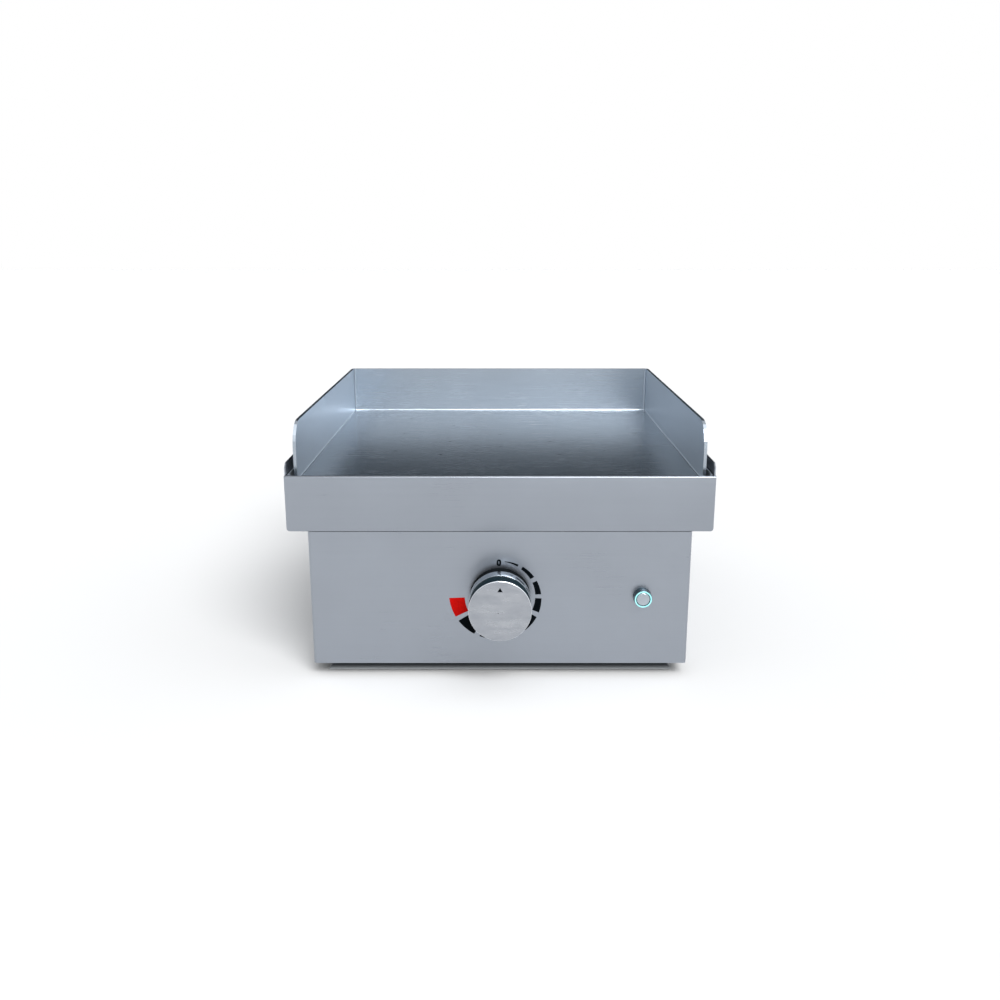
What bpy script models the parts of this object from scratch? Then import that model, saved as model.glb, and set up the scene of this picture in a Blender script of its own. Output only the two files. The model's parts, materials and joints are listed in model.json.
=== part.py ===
"""An electric countertop griddle: a stainless plate with a three-sided splash guard over a control box.

Units are metres, +Z is up and the front faces -Y. Every dimension below is measured from the floor, from
the middle of the width, and backwards from the outer face of the grease tray's front panel.
"""

import math

import bmesh
import bpy
from mathutils import Vector

MM = 0.001
GAP = 0.3 * MM

# The whole appliance.
WIDTH = 410 * MM
HALF_WIDTH = WIDTH / 2
GUARD_TOP = 252.1 * MM
KNOB_REACH = 40.5 * MM
BACK_REACH = 426.8 * MM
FRONT_FACE_Y = -(BACK_REACH - KNOB_REACH) / 2
SHEET = 1.2 * MM

# The control box.
BODY_HALF = 185.35 * MM
BODY_FRONT = 0.4 * MM
BODY_BACK = 401.3 * MM
BODY_BOTTOM = 13.4 * MM
BODY_TOP = 149.9 * MM
BODY_BEND = 3 * MM
REAR_RETURN = 14 * MM
PLINTH_RECESS = 12.5 * MM
PLINTH_FLARE = 12 * MM
FOOT_HEIGHT = 1.2 * MM
FOOT_RADIUS = 12 * MM

# The upper section: skirt, deck and grease tray.
SKIRT_BOTTOM = 150.2 * MM
SKIRT_TOP = 216 * MM
SKIRT_FLANGE = 20 * MM
DECK_BOTTOM = 151.7 * MM
DECK_TOP = DECK_BOTTOM + SHEET
TRAY_TOP = 205 * MM
TRAY_ROLL = 2 * MM
TRAY_PANEL_BOTTOM = 150.4 * MM
TRAY_FLOOR = 158 * MM
TRAY_DEPTH = 78 * MM
TRAY_REAR_WALL_TOP = 180 * MM
TRAY_HALF = HALF_WIDTH - 2.1 * MM
TRAY_PAN_FRONT = 4.6 * MM

# The griddle plate with its splash guard, one sheet with bends.
PLATE_TOP = 196.3 * MM
PLATE_THICKNESS = 3 * MM
PLATE_UNDERSIDE = PLATE_TOP - PLATE_THICKNESS
PLATE_HALF = 199 * MM
PLATE_FRONT = 19.5 * MM
PLATE_BACK = 422 * MM
PLATE_BEND = 1.5 * MM
GUARD_CORNER = 5 * MM
GUARD_FRONT_RADIUS = 24 * MM

# The heating stack under the plate.
SPREADER_BOTTOM = 185 * MM
ELEMENT_RADIUS = 4 * MM
ELEMENT_PITCH = 50 * MM
ELEMENT_RUNS = 6
ELEMENT_Z = SPREADER_BOTTOM - GAP - ELEMENT_RADIUS
ELEMENT_FRONT = 130 * MM
ELEMENT_BACK = 370 * MM
TERMINAL_Y = 110 * MM
TERMINAL_END = 140 * MM
CLAMP_TOP = ELEMENT_Z - ELEMENT_RADIUS - GAP
SHIELD_FLOOR = 157 * MM
SHIELD_SHEET = 1 * MM
PAD_TOP = 171.4 * MM
BOLT_PLACES = [(x * MM, y * MM) for x in (-100, 100) for y in (150, 350)]
BOLT_RADIUS = 3 * MM
CAPILLARY_HOLE_Y = 116 * MM
BULB_RADIUS = 3 * MM
LEAD_Y = 20 * MM
LEAD_RADIUS = 1.5 * MM
LEAD_GAP = 0.9 * MM

# The controls on the front panel.
CONTROL_Z = 84 * MM
BUTTON_X = 139 * MM
KNOB_RADIUS = 30 * MM
KNOB_FACE_RADIUS = 29.9 * MM
KNOB_BAND_RADIUS = 29.6 * MM
SHAFT_RADIUS = 3 * MM
SHAFT_HOLE = 5.5 * MM
SHAFT_FRONT = -30 * MM
BARREL_RADIUS = 8 * MM
BARREL_BACK = 18 * MM
BUTTON_TRAVEL = 1.5 * MM
SWITCH_HALF = 12 * MM
SWITCH_BACK = 38 * MM
THERMOSTAT_HALF = 22 * MM

# The rear panel and the appliance inlet in it.
REAR_PANEL_Y = BODY_BACK + GAP
INLET_X = -120 * MM
INLET_Z = 50 * MM
INLET_HALF = (17.6 * MM, 13 * MM)
INLET_FLANGE_HALF = (27 * MM, 16.5 * MM)
INLET_SCREW_X = 22.5 * MM
INLET_FRONT = REAR_PANEL_Y + SHEET + GAP
INLET_BACK = INLET_FRONT + 2.5 * MM
BARREL_END = INLET_BACK - 22 * MM
SOCKET_FLOOR = INLET_BACK - 16 * MM
REAR_SCREWS = [(x * (BODY_HALF - REAR_RETURN / 2), z * MM) for x in (-1, 1) for z in (30, 136)]

FINISHES = {
    "stainless_steel": ((0.60, 0.63, 0.67), 0.32, 1.0),
    "polished_steel": ((0.74, 0.76, 0.80), 0.14, 1.0),
    "chrome": ((0.80, 0.82, 0.85), 0.08, 1.0),
    "dark_chrome": ((0.05, 0.06, 0.07), 0.20, 1.0),
    "black_plastic": ((0.02, 0.02, 0.022), 0.45, 0.0),
    "galvanised_steel": ((0.55, 0.57, 0.58), 0.45, 1.0),
    "aluminium": ((0.75, 0.76, 0.77), 0.40, 1.0),
    "ceramic_fibre": ((0.88, 0.87, 0.82), 0.95, 0.0),
    "copper": ((0.72, 0.42, 0.28), 0.30, 1.0),
    "rubber": ((0.03, 0.03, 0.03), 0.80, 0.0),
    "white_plastic": ((0.85, 0.84, 0.80), 0.50, 0.0),
    "light_ring": ((0.70, 0.98, 1.00), 0.30, 0.0),
    "zinc_screw": ((0.62, 0.63, 0.64), 0.30, 1.0),
    "brass": ((0.80, 0.62, 0.30), 0.30, 1.0),
    "brown_wire": ((0.30, 0.13, 0.06), 0.50, 0.0),
    "blue_wire": ((0.05, 0.15, 0.55), 0.50, 0.0),
}


def clear_scene():
    for obj in list(bpy.data.objects):
        bpy.data.objects.remove(obj, do_unlink=True)


def make_materials():
    made = {}
    for name, (colour, roughness, metallic) in FINISHES.items():
        material = bpy.data.materials.new(name)
        material.use_nodes = True
        shader = material.node_tree.nodes["Principled BSDF"]
        shader.inputs["Base Color"].default_value = (*colour, 1)
        shader.inputs["Roughness"].default_value = roughness
        shader.inputs["Metallic"].default_value = metallic
        made[name] = material
    return made


clear_scene()
MATERIALS = make_materials()
FRAME = bpy.data.objects.new("griddle_frame", None)
FRAME.location = (0, FRONT_FACE_Y, 0)
bpy.context.scene.collection.objects.link(FRAME)


# ---- Tools -------------------------------------------------------------------------------------------


def place(obj, location=(0, 0, 0)):
    """Links an object into the scene, at a location in the griddle's own frame."""
    bpy.context.scene.collection.objects.link(obj)
    obj.parent = FRAME
    obj.location = location
    return obj


def finish_mesh(name, bm, finish, location=(0, 0, 0), smooth=True):
    """Turns a closed bmesh into a named object with its faces pointing outwards."""
    bmesh.ops.recalc_face_normals(bm, faces=bm.faces)
    mesh = bpy.data.meshes.new(name)
    bm.to_mesh(mesh)
    bm.free()
    if smooth:
        mesh.shade_smooth()
        mesh.set_sharp_from_angle(angle=math.radians(30))
    if finish:
        mesh.materials.append(MATERIALS[finish])
    return place(bpy.data.objects.new(name, mesh), location)


def box_into(bm, low, high):
    corners = [(x, y, z) for z in (low[2], high[2]) for y in (low[1], high[1]) for x in (low[0], high[0])]
    verts = [bm.verts.new(corner) for corner in corners]
    for face in ((0, 1, 3, 2), (4, 5, 7, 6), (0, 1, 5, 4), (2, 3, 7, 6), (0, 2, 6, 4), (1, 3, 7, 5)):
        bm.faces.new([verts[index] for index in face])


def box(name, low, high, finish, bevel=0.0):
    bm = bmesh.new()
    box_into(bm, low, high)
    obj = finish_mesh(name, bm, finish, smooth=False)
    if bevel:
        modifier = obj.modifiers.new("edges", "BEVEL")
        modifier.width = bevel
        modifier.segments = 2
    return obj


def arc(centre, radius, start, end, steps):
    """Points of a circular arc, both ends included; the angles are in degrees."""
    points = []
    for step in range(steps + 1):
        angle = math.radians(start + (end - start) * step / steps)
        points.append((centre[0] + radius * math.cos(angle), centre[1] + radius * math.sin(angle)))
    return points


def rounded_rectangle(low, high, radius, steps=4):
    (x0, y0), (x1, y1) = low, high
    return (
        arc((x1 - radius, y1 - radius), radius, 0, 90, steps)
        + arc((x0 + radius, y1 - radius), radius, 90, 180, steps)
        + arc((x0 + radius, y0 + radius), radius, 180, 270, steps)
        + arc((x1 - radius, y0 + radius), radius, 270, 360, steps)
    )


def along(axis, u, v, w):
    """The point at (u, v) in the plane across an axis and at w along it."""
    return {"X": (w, u, v), "Y": (u, w, v), "Z": (u, v, w)}[axis]


def prism_into(bm, outline, start, end, axis):
    rings = [[bm.verts.new(along(axis, u, v, w)) for u, v in outline] for w in (start, end)]
    count = len(outline)
    for index in range(count):
        after = (index + 1) % count
        bm.faces.new((rings[0][index], rings[0][after], rings[1][after], rings[1][index]))
    bm.faces.new(rings[0])
    bm.faces.new(rings[1])


def prism(name, outline, start, end, axis, finish, location=(0, 0, 0)):
    bm = bmesh.new()
    prism_into(bm, outline, start, end, axis)
    return finish_mesh(name, bm, finish, location)


def turned_into(bm, profile, axis, centre=(0, 0), steps=24):
    """A closed profile of (radius, height) points, turned about an axis through centre."""
    rings = []
    for radius, height in profile:
        ring = []
        for step in range(steps if radius > 0 else 1):
            angle = 2 * math.pi * step / steps
            u = centre[0] + radius * math.cos(angle)
            v = centre[1] + radius * math.sin(angle)
            ring.append(bm.verts.new(along(axis, u, v, height)))
        rings.append(ring)
    for ring, following in zip(rings, rings[1:] + rings[:1]):
        if len(ring) == len(following) == 1:
            continue
        for step in range(steps):
            after = (step + 1) % steps
            corners = []
            for source, index in ((ring, step), (ring, after), (following, after), (following, step)):
                vert = source[index % len(source)]
                if vert not in corners:
                    corners.append(vert)
            bm.faces.new(corners)


def turned(name, profile, axis, finish, location=(0, 0, 0), steps=24):
    bm = bmesh.new()
    turned_into(bm, profile, axis, steps=steps)
    return finish_mesh(name, bm, finish, location)


def solid_profile(sections):
    """The profile of a stepped solid bar, from (radius, start, end) sections in order along the axis."""
    profile = [(0, sections[0][1])]
    for radius, start, end in sections:
        profile.append((radius, start))
        profile.append((radius, end))
    profile.append((0, sections[-1][2]))
    return profile


def ring_profile(inner, outer, start, end):
    return [(inner, start), (outer, start), (outer, end), (inner, end)]


def dish(name, low, high, radius, profile, finish):
    """A pan on a rounded rectangle: profile is a list of (inset, height), with its two ends closed flat."""
    bm = bmesh.new()
    least_radius = 0.4 * MM
    rings = []
    for inset, height in profile:
        outline = rounded_rectangle(
            (low[0] + inset, low[1] + inset), (high[0] - inset, high[1] - inset), max(radius - inset, least_radius)
        )
        rings.append([bm.verts.new((x, y, height)) for x, y in outline])
    for ring, following in zip(rings, rings[1:]):
        for index in range(len(ring)):
            after = (index + 1) % len(ring)
            bm.faces.new((ring[index], ring[after], following[after], following[index]))
    bm.faces.new(rings[0])
    bm.faces.new(rings[-1])
    return finish_mesh(name, bm, finish)


def helper(bm, name):
    """A cutter or a piece to join on: it is used by Booleans only, and is left out of the model."""
    obj = finish_mesh(name, bm, None, smooth=False)
    obj.hide_render = True
    obj.display_type = "WIRE"
    return obj


def combine(obj, other, operation="DIFFERENCE"):
    modifier = obj.modifiers.new(f"{operation.lower()} {other.name}", "BOOLEAN")
    modifier.operation = operation
    modifier.object = other
    modifier.solver = "EXACT"


def hole_cutter(name, places, radius, start, end, axis, steps=12):
    """One helper with a round bar at each (u, v) place."""
    bm = bmesh.new()
    for centre in places:
        turned_into(bm, solid_profile([(radius, start, end)]), axis, centre, steps)
    return helper(bm, name)


def box_helper(name, low, high):
    bm = bmesh.new()
    box_into(bm, low, high)
    return helper(bm, name)


def tube(name, points, radius, finish):
    curve = bpy.data.curves.new(name, "CURVE")
    curve.dimensions = "3D"
    curve.bevel_depth = radius
    curve.bevel_resolution = 2
    curve.use_fill_caps = True
    spline = curve.splines.new("POLY")
    spline.points.add(len(points) - 1)
    for point, position in zip(spline.points, points):
        point.co = (*position, 1)
    curve.materials.append(MATERIALS[finish])
    return place(bpy.data.objects.new(name, curve))


def smooth_route(start, start_pull, end, end_pull, steps=16):
    """Points of one smooth Bezier curve that leaves start along start_pull and reaches end along end_pull."""
    first = Vector(start)
    last = Vector(end)
    controls = (first, first + Vector(start_pull), last + Vector(end_pull), last)
    points = []
    for step in range(steps + 1):
        t = step / steps
        weights = ((1 - t) ** 3, 3 * t * (1 - t) ** 2, 3 * t * t * (1 - t), t**3)
        points.append(sum((weight * control for weight, control in zip(weights, controls)), Vector()))
    return points


# ---- Control box -------------------------------------------------------------------------------------


def control_box_outline():
    """The plan of the bent sheet that makes the front, both sides and the two rear returns."""
    inner_bend = BODY_BEND - SHEET
    bend_y = BODY_FRONT + BODY_BEND
    bend_x = BODY_HALF - BODY_BEND
    inner_half = BODY_HALF - SHEET
    return_end = BODY_HALF - REAR_RETURN
    outer = [(-return_end, BODY_BACK), (-BODY_HALF, BODY_BACK)]
    outer += arc((-bend_x, bend_y), BODY_BEND, 180, 270, 4)
    outer += arc((bend_x, bend_y), BODY_BEND, 270, 360, 4)
    outer += [(BODY_HALF, BODY_BACK), (return_end, BODY_BACK)]
    inner = [(return_end, BODY_BACK - SHEET), (inner_half, BODY_BACK - SHEET)]
    inner += arc((bend_x, bend_y), inner_bend, 360, 270, 4)
    inner += arc((-bend_x, bend_y), inner_bend, 270, 180, 4)
    inner += [(-inner_half, BODY_BACK - SHEET), (-return_end, BODY_BACK - SHEET)]
    return outer + inner


def make_body_shell():
    shell = prism("body_shell", control_box_outline(), BODY_BOTTOM, BODY_TOP, "Z", "stainless_steel")
    reach = 5 * MM
    combine(shell, hole_cutter("cut_shaft_hole", [(0, CONTROL_Z)], SHAFT_HOLE, -reach, reach, "Y", 24))
    barrel_hole = BARREL_RADIUS + GAP
    combine(shell, hole_cutter("cut_button_hole", [(BUTTON_X, CONTROL_Z)], barrel_hole, -reach, reach, "Y", 24))


def rear_vent_outlines():
    """Two rows of upright slots with round ends, beside the inlet."""
    slot_half_width = 2 * MM
    row_heights = ((28 * MM, 62 * MM), (92 * MM, 126 * MM))
    first_x = -40 * MM
    pitch = 14 * MM
    outlines = []
    for bottom, top in row_heights:
        for index in range(10):
            x = first_x + index * pitch
            upper = arc((x, top), slot_half_width, 0, 180, 3)
            lower = arc((x, bottom), slot_half_width, 180, 360, 3)
            outlines.append(upper + lower)
    return outlines


def make_rear_panel(screw_holes):
    margin = 0.4 * MM
    low = (-BODY_HALF + margin, REAR_PANEL_Y, BODY_BOTTOM + margin)
    high = (BODY_HALF - margin, REAR_PANEL_Y + SHEET, BODY_TOP - margin)
    panel = box("rear_panel", low, high, "stainless_steel")
    cut_start = REAR_PANEL_Y - 5 * MM
    cut_end = REAR_PANEL_Y + 5 * MM
    bm = bmesh.new()
    for outline in rear_vent_outlines():
        prism_into(bm, outline, cut_start, cut_end, "Y")
    clearance = 0.5 * MM
    half_x, half_z = INLET_HALF[0] + clearance, INLET_HALF[1] + clearance
    window = rounded_rectangle((INLET_X - half_x, INLET_Z - half_z), (INLET_X + half_x, INLET_Z + half_z), 3 * MM)
    prism_into(bm, window, cut_start, cut_end, "Y")
    combine(panel, helper(bm, "cut_vents_and_inlet"))
    combine(panel, screw_holes)


def make_rear_screws(screw_holes):
    head_face = REAR_PANEL_Y + SHEET + GAP
    combine(bpy.data.objects["body_shell"], screw_holes)
    for index, (x, z) in enumerate(REAR_SCREWS):
        sections = [(1.7 * MM, head_face - 9 * MM, head_face), (4 * MM, head_face, head_face + 1.6 * MM)]
        sections.append((2.6 * MM, head_face + 1.6 * MM, head_face + 2.4 * MM))
        turned(f"rear_screw_{index + 1}", solid_profile(sections), "Y", "zinc_screw", (x, 0, z), 16)


def make_base_plinth():
    """The pan that closes the control box underneath: its rim lies inside the sheet and its walls flare outwards."""
    rim_half = BODY_HALF - SHEET - GAP
    rim_front = BODY_FRONT + SHEET + GAP
    rim_back = BODY_BACK - SHEET - GAP
    wall_foot = PLINTH_RECESS - SHEET - GAP
    wall_head = wall_foot + PLINTH_FLARE
    wall_width = SHEET * math.sqrt(2)
    rim_bottom = BODY_BOTTOM + GAP
    rim_top = rim_bottom + SHEET
    profile = [
        (wall_foot + wall_width, FOOT_HEIGHT + SHEET),
        (wall_head + wall_width, rim_top),
        (0, rim_top),
        (0, rim_bottom),
        (wall_head, rim_bottom),
        (wall_foot, FOOT_HEIGHT),
    ]
    low = (-rim_half, rim_front)
    high = (rim_half, rim_back)
    plinth = dish("base_plinth", low, high, BODY_BEND - SHEET, profile, "galvanised_steel")
    bm = bmesh.new()
    slot_half = 2 * MM
    for index in range(8):
        x = (index - 3.5) * 24 * MM
        front = 180 * MM
        back = 240 * MM
        outline = arc((x, back), slot_half, 0, 180, 3) + arc((x, front), slot_half, 180, 360, 3)
        prism_into(bm, outline, 0, 10 * MM, "Z")
    combine(plinth, helper(bm, "cut_base_vents"))


def make_feet():
    """Flat rubber pads stuck under the four corners of the plinth."""
    inset = PLINTH_RECESS + FOOT_RADIUS + 8 * MM
    chamfer = 0.3 * MM
    top = FOOT_HEIGHT - GAP
    profile = [(0, 0), (FOOT_RADIUS - chamfer, 0), (FOOT_RADIUS, chamfer), (FOOT_RADIUS, top), (0, top)]
    for side, x in (("left", -BODY_HALF + inset), ("right", BODY_HALF - inset)):
        for end, y in (("front", BODY_FRONT + inset), ("rear", BODY_BACK - inset)):
            turned(f"foot_{end}_{side}", profile, "Z", "rubber", (x, y, 0), 20)


# ---- Upper section -----------------------------------------------------------------------------------


def u_outline(half, front, back, radius, thickness):
    """The plan of a wall round the left, back and right sides, with rounded back corners."""
    inner_half = half - thickness
    inner_back = back - thickness
    inner_radius = max(radius - thickness, 0.5 * MM)
    outer = [(half, front)]
    outer += arc((half - radius, back - radius), radius, 0, 90, 5)
    outer += arc((-half + radius, back - radius), radius, 90, 180, 5)
    outer += [(-half, front)]
    inner = [(-inner_half, front)]
    inner += arc((-inner_half + inner_radius, inner_back - inner_radius), inner_radius, 180, 90, 5)
    inner += arc((inner_half - inner_radius, inner_back - inner_radius), inner_radius, 90, 0, 5)
    inner += [(inner_half, front)]
    return outer + inner


def make_upper_skirt():
    front = 2 * TRAY_ROLL + GAP
    corner = 6 * MM
    wall = u_outline(HALF_WIDTH, front, BACK_REACH, corner, SHEET)
    skirt = prism("upper_skirt", wall, SKIRT_BOTTOM, SKIRT_TOP, "Z", "stainless_steel")
    inset = 0.2 * MM
    flange = u_outline(HALF_WIDTH - inset, front + inset, BACK_REACH - inset, corner, SKIRT_FLANGE)
    bm = bmesh.new()
    prism_into(bm, flange, SKIRT_BOTTOM - GAP / 2, SKIRT_BOTTOM + SHEET, "Z")
    combine(skirt, helper(bm, "join_skirt_flange"), "UNION")
    chamfer_depth = 4.8 * MM
    chamfer_drop = 4 * MM
    over = 2 * MM
    wedge = [
        (front - over, SKIRT_TOP - chamfer_drop - over * chamfer_drop / chamfer_depth),
        (front + chamfer_depth + over, SKIRT_TOP + over * chamfer_drop / chamfer_depth),
        (front - over, SKIRT_TOP + over),
    ]
    bm = bmesh.new()
    prism_into(bm, wedge, -HALF_WIDTH - over, HALF_WIDTH + over, "X")
    combine(skirt, helper(bm, "cut_skirt_corners"))


def make_top_deck(stack_holes, lead_holes):
    half = HALF_WIDTH - SHEET - 0.4 * MM
    outline = rounded_rectangle((-half, 3.2 * MM), (half, BACK_REACH - SHEET - 0.4 * MM), 5 * MM)
    deck = prism("top_deck", outline, DECK_BOTTOM, DECK_TOP, "Z", "galvanised_steel")
    combine(deck, stack_holes)
    combine(deck, lead_holes)


def make_tray_front():
    """The tray's front panel: flat sheet with rounded lower corners and a rolled top edge."""
    corner = 3 * MM
    sheet_top = TRAY_TOP - TRAY_ROLL
    outline = [(HALF_WIDTH, sheet_top), (-HALF_WIDTH, sheet_top)]
    outline += arc((-HALF_WIDTH + corner, TRAY_PANEL_BOTTOM + corner), corner, 180, 270, 4)
    outline += arc((HALF_WIDTH - corner, TRAY_PANEL_BOTTOM + corner), corner, 270, 360, 4)
    panel = prism("tray_front", outline, 0, SHEET, "Y", "stainless_steel")
    rolled = arc((TRAY_ROLL, sheet_top), TRAY_ROLL, 0, 360, 12)[:-1]
    bm = bmesh.new()
    prism_into(bm, rolled, -HALF_WIDTH, HALF_WIDTH, "X")
    combine(panel, helper(bm, "join_rolled_edge"), "UNION")


def make_tray_pan():
    """The trough behind the front panel; its rear wall is low enough to pass under the plate's lip."""
    profile = [
        (SHEET, TRAY_FLOOR + SHEET),
        (SHEET, TRAY_TOP),
        (0, TRAY_TOP),
        (0, TRAY_FLOOR),
    ]
    low = (-TRAY_HALF, TRAY_PAN_FRONT)
    high = (TRAY_HALF, TRAY_DEPTH)
    pan = dish("tray_pan", low, high, 2 * MM, profile, "stainless_steel")
    side_wall = 3 * MM
    low = (-TRAY_HALF + side_wall, TRAY_DEPTH - side_wall, TRAY_REAR_WALL_TOP)
    high = (TRAY_HALF - side_wall, TRAY_DEPTH + side_wall, TRAY_TOP + side_wall)
    combine(pan, box_helper("cut_rear_wall", low, high))
    low = (-TRAY_HALF + side_wall, TRAY_PAN_FRONT - side_wall, TRAY_TOP - side_wall)
    high = (TRAY_HALF - side_wall, TRAY_PAN_FRONT + side_wall, TRAY_TOP + side_wall)
    combine(pan, box_helper("cut_front_wall", low, high))


def make_tray_runners():
    for side, sign in (("left", -1), ("right", 1)):
        near = sign * 150 * MM
        far = sign * 170 * MM
        low = (min(near, far), 10 * MM, DECK_TOP + GAP)
        high = (max(near, far), TRAY_DEPTH, TRAY_FLOOR - GAP)
        box(f"tray_runner_{side}", low, high, "galvanised_steel", 0.5 * MM)


# ---- Griddle plate and splash guard ------------------------------------------------------------------


def guard_stations():
    """(outer point, inward direction, wall height) round the guard, from front left to front right."""
    steps = 6
    left = []
    for step in range(steps + 1):
        angle = math.pi / 2 * step / steps
        y = PLATE_FRONT + GUARD_FRONT_RADIUS * (1 - math.cos(angle))
        height = GUARD_TOP - GUARD_FRONT_RADIUS * (1 - math.sin(angle))
        left.append(((-PLATE_HALF, y), (1, 0), height))
    corner = []
    centre = (-PLATE_HALF + GUARD_CORNER, PLATE_BACK - GUARD_CORNER)
    for step in range(steps + 1):
        angle = math.pi - math.pi / 2 * step / steps
        outward = (math.cos(angle), math.sin(angle))
        point = (centre[0] + GUARD_CORNER * outward[0], centre[1] + GUARD_CORNER * outward[1])
        corner.append((point, (-outward[0], -outward[1]), GUARD_TOP))
    half = left + corner
    mirrored = [((-x, y), (-dx, dy), height) for (x, y), (dx, dy), height in reversed(half)]
    return half + mirrored


def guard_section(height):
    """The bent sheet's section as (inset, height): up its inner face, over the top and down its outer face."""
    bend_centre = (PLATE_THICKNESS + PLATE_BEND, PLATE_TOP + PLATE_BEND)
    inner = arc(bend_centre, PLATE_BEND, 270, 180, 4) + [(PLATE_THICKNESS, height)]
    outer = [(0, height)] + arc(bend_centre, PLATE_BEND + PLATE_THICKNESS, 180, 270, 4)
    return inner + outer


def make_griddle_plate():
    bm = bmesh.new()
    rings = []
    for (x, y), (dx, dy), wall_height in guard_stations():
        section = guard_section(wall_height)
        rings.append([bm.verts.new((x + dx * inset, y + dy * inset, z)) for inset, z in section])
    for ring, following in zip(rings, rings[1:]):
        for index in range(len(ring) - 1):
            bm.faces.new((ring[index], ring[index + 1], following[index + 1], following[index]))
    bm.faces.new([ring[0] for ring in rings])
    bm.faces.new([ring[-1] for ring in rings])
    bm.faces.new(rings[0] + rings[-1][::-1])
    plate = finish_mesh("griddle_plate", bm, "stainless_steel")
    lip_half = PLATE_HALF - PLATE_THICKNESS - PLATE_BEND
    low = (-lip_half, PLATE_FRONT + GAP, PLATE_TOP - 12 * MM)
    high = (lip_half, PLATE_FRONT + GAP + PLATE_THICKNESS, PLATE_TOP - PLATE_THICKNESS / 2)
    combine(plate, box_helper("join_front_lip", low, high), "UNION")


# ---- Heating stack -----------------------------------------------------------------------------------


def make_heat_spreader(stack_holes):
    low = (-172 * MM, 92 * MM, SPREADER_BOTTOM)
    high = (172 * MM, 404 * MM, PLATE_UNDERSIDE - GAP)
    combine(box("heat_spreader", low, high, "aluminium"), stack_holes)


def element_run_x(index):
    return (index - (ELEMENT_RUNS - 1) / 2) * ELEMENT_PITCH


def element_route():
    """Up one run and down the next, with half-round bends, and both ends turned down as terminals."""
    bend = ELEMENT_PITCH / 2
    turn_down = 12 * MM
    route = [(element_run_x(0), TERMINAL_Y, TERMINAL_END)]
    for y, z in arc((TERMINAL_Y + turn_down, ELEMENT_Z - turn_down), turn_down, 180, 90, 4):
        route.append((element_run_x(0), y, z))
    for index in range(ELEMENT_RUNS - 1):
        middle_x = (element_run_x(index) + element_run_x(index + 1)) / 2
        if index % 2 == 0:
            bend_points = arc((middle_x, ELEMENT_BACK - bend), bend, 180, 0, 8)
        else:
            bend_points = arc((middle_x, ELEMENT_FRONT + bend), bend, 180, 360, 8)
        route += [(x, y, ELEMENT_Z) for x, y in bend_points]
    last_x = element_run_x(ELEMENT_RUNS - 1)
    for y, z in arc((TERMINAL_Y + turn_down, ELEMENT_Z - turn_down), turn_down, 90, 180, 4):
        route.append((last_x, y, z))
    route.append((last_x, TERMINAL_Y, TERMINAL_END))
    return route


def make_clamp_plate(stack_holes):
    low = (-138 * MM, 128 * MM, CLAMP_TOP - SHEET)
    high = (138 * MM, 374 * MM, CLAMP_TOP)
    combine(box("element_clamp_plate", low, high, "galvanised_steel"), stack_holes)


def make_plate_bolts():
    """Studs under the plate, each with its clamp nut and, below the deck, its washer and lock nut."""
    nut = 5 * MM
    washer = 7 * MM
    clamp_nut_top = CLAMP_TOP - SHEET - GAP
    clamp_nut_bottom = PAD_TOP + GAP
    washer_top = DECK_BOTTOM - GAP
    washer_bottom = washer_top - SHEET
    nut_bottom = washer_bottom - 4.5 * MM
    sections = [
        (BOLT_RADIUS, nut_bottom - 3 * MM, nut_bottom),
        (nut, nut_bottom, washer_bottom),
        (washer, washer_bottom, washer_top),
        (BOLT_RADIUS, washer_top, clamp_nut_bottom),
        (nut, clamp_nut_bottom, clamp_nut_top),
        (BOLT_RADIUS, clamp_nut_top, PLATE_UNDERSIDE - GAP),
    ]
    for index, (x, y) in enumerate(BOLT_PLACES):
        turned(f"plate_bolt_{index + 1}", solid_profile(sections), "Z", "zinc_screw", (x, y, 0), 12)


def make_insulation_pad(stack_holes, lead_holes):
    low = (-176 * MM, 88 * MM, SHIELD_FLOOR + SHIELD_SHEET + GAP)
    high = (176 * MM, 408 * MM, PAD_TOP)
    pad = box("insulation_pad", low, high, "ceramic_fibre")
    combine(pad, stack_holes)
    combine(pad, lead_holes)


def make_heat_shield(stack_holes, lead_holes):
    """The pan that holds the insulation, with a rim that the griddle plate rests on."""
    rim_top = PLATE_UNDERSIDE - GAP
    rim = 8 * MM
    profile = [
        (rim + SHIELD_SHEET, SHIELD_FLOOR + SHIELD_SHEET),
        (rim + SHIELD_SHEET, rim_top),
        (0, rim_top),
        (0, rim_top - SHIELD_SHEET),
        (rim, rim_top - SHIELD_SHEET),
        (rim, SHIELD_FLOOR),
    ]
    shield = dish("heat_shield", (-188 * MM, 78.6 * MM), (188 * MM, 419 * MM), 9.5 * MM, profile, "galvanised_steel")
    combine(shield, stack_holes)
    combine(shield, lead_holes)


def make_limit_cutout():
    top = SPREADER_BOTTOM - GAP
    sections = [(6 * MM, top - 11 * MM, top - 6 * MM), (11 * MM, top - 6 * MM, top)]
    turned("high_limit_cutout", solid_profile(sections), "Z", "black_plastic", (0, 392 * MM, 0), 20)


# ---- Thermostat and knob -----------------------------------------------------------------------------


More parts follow.
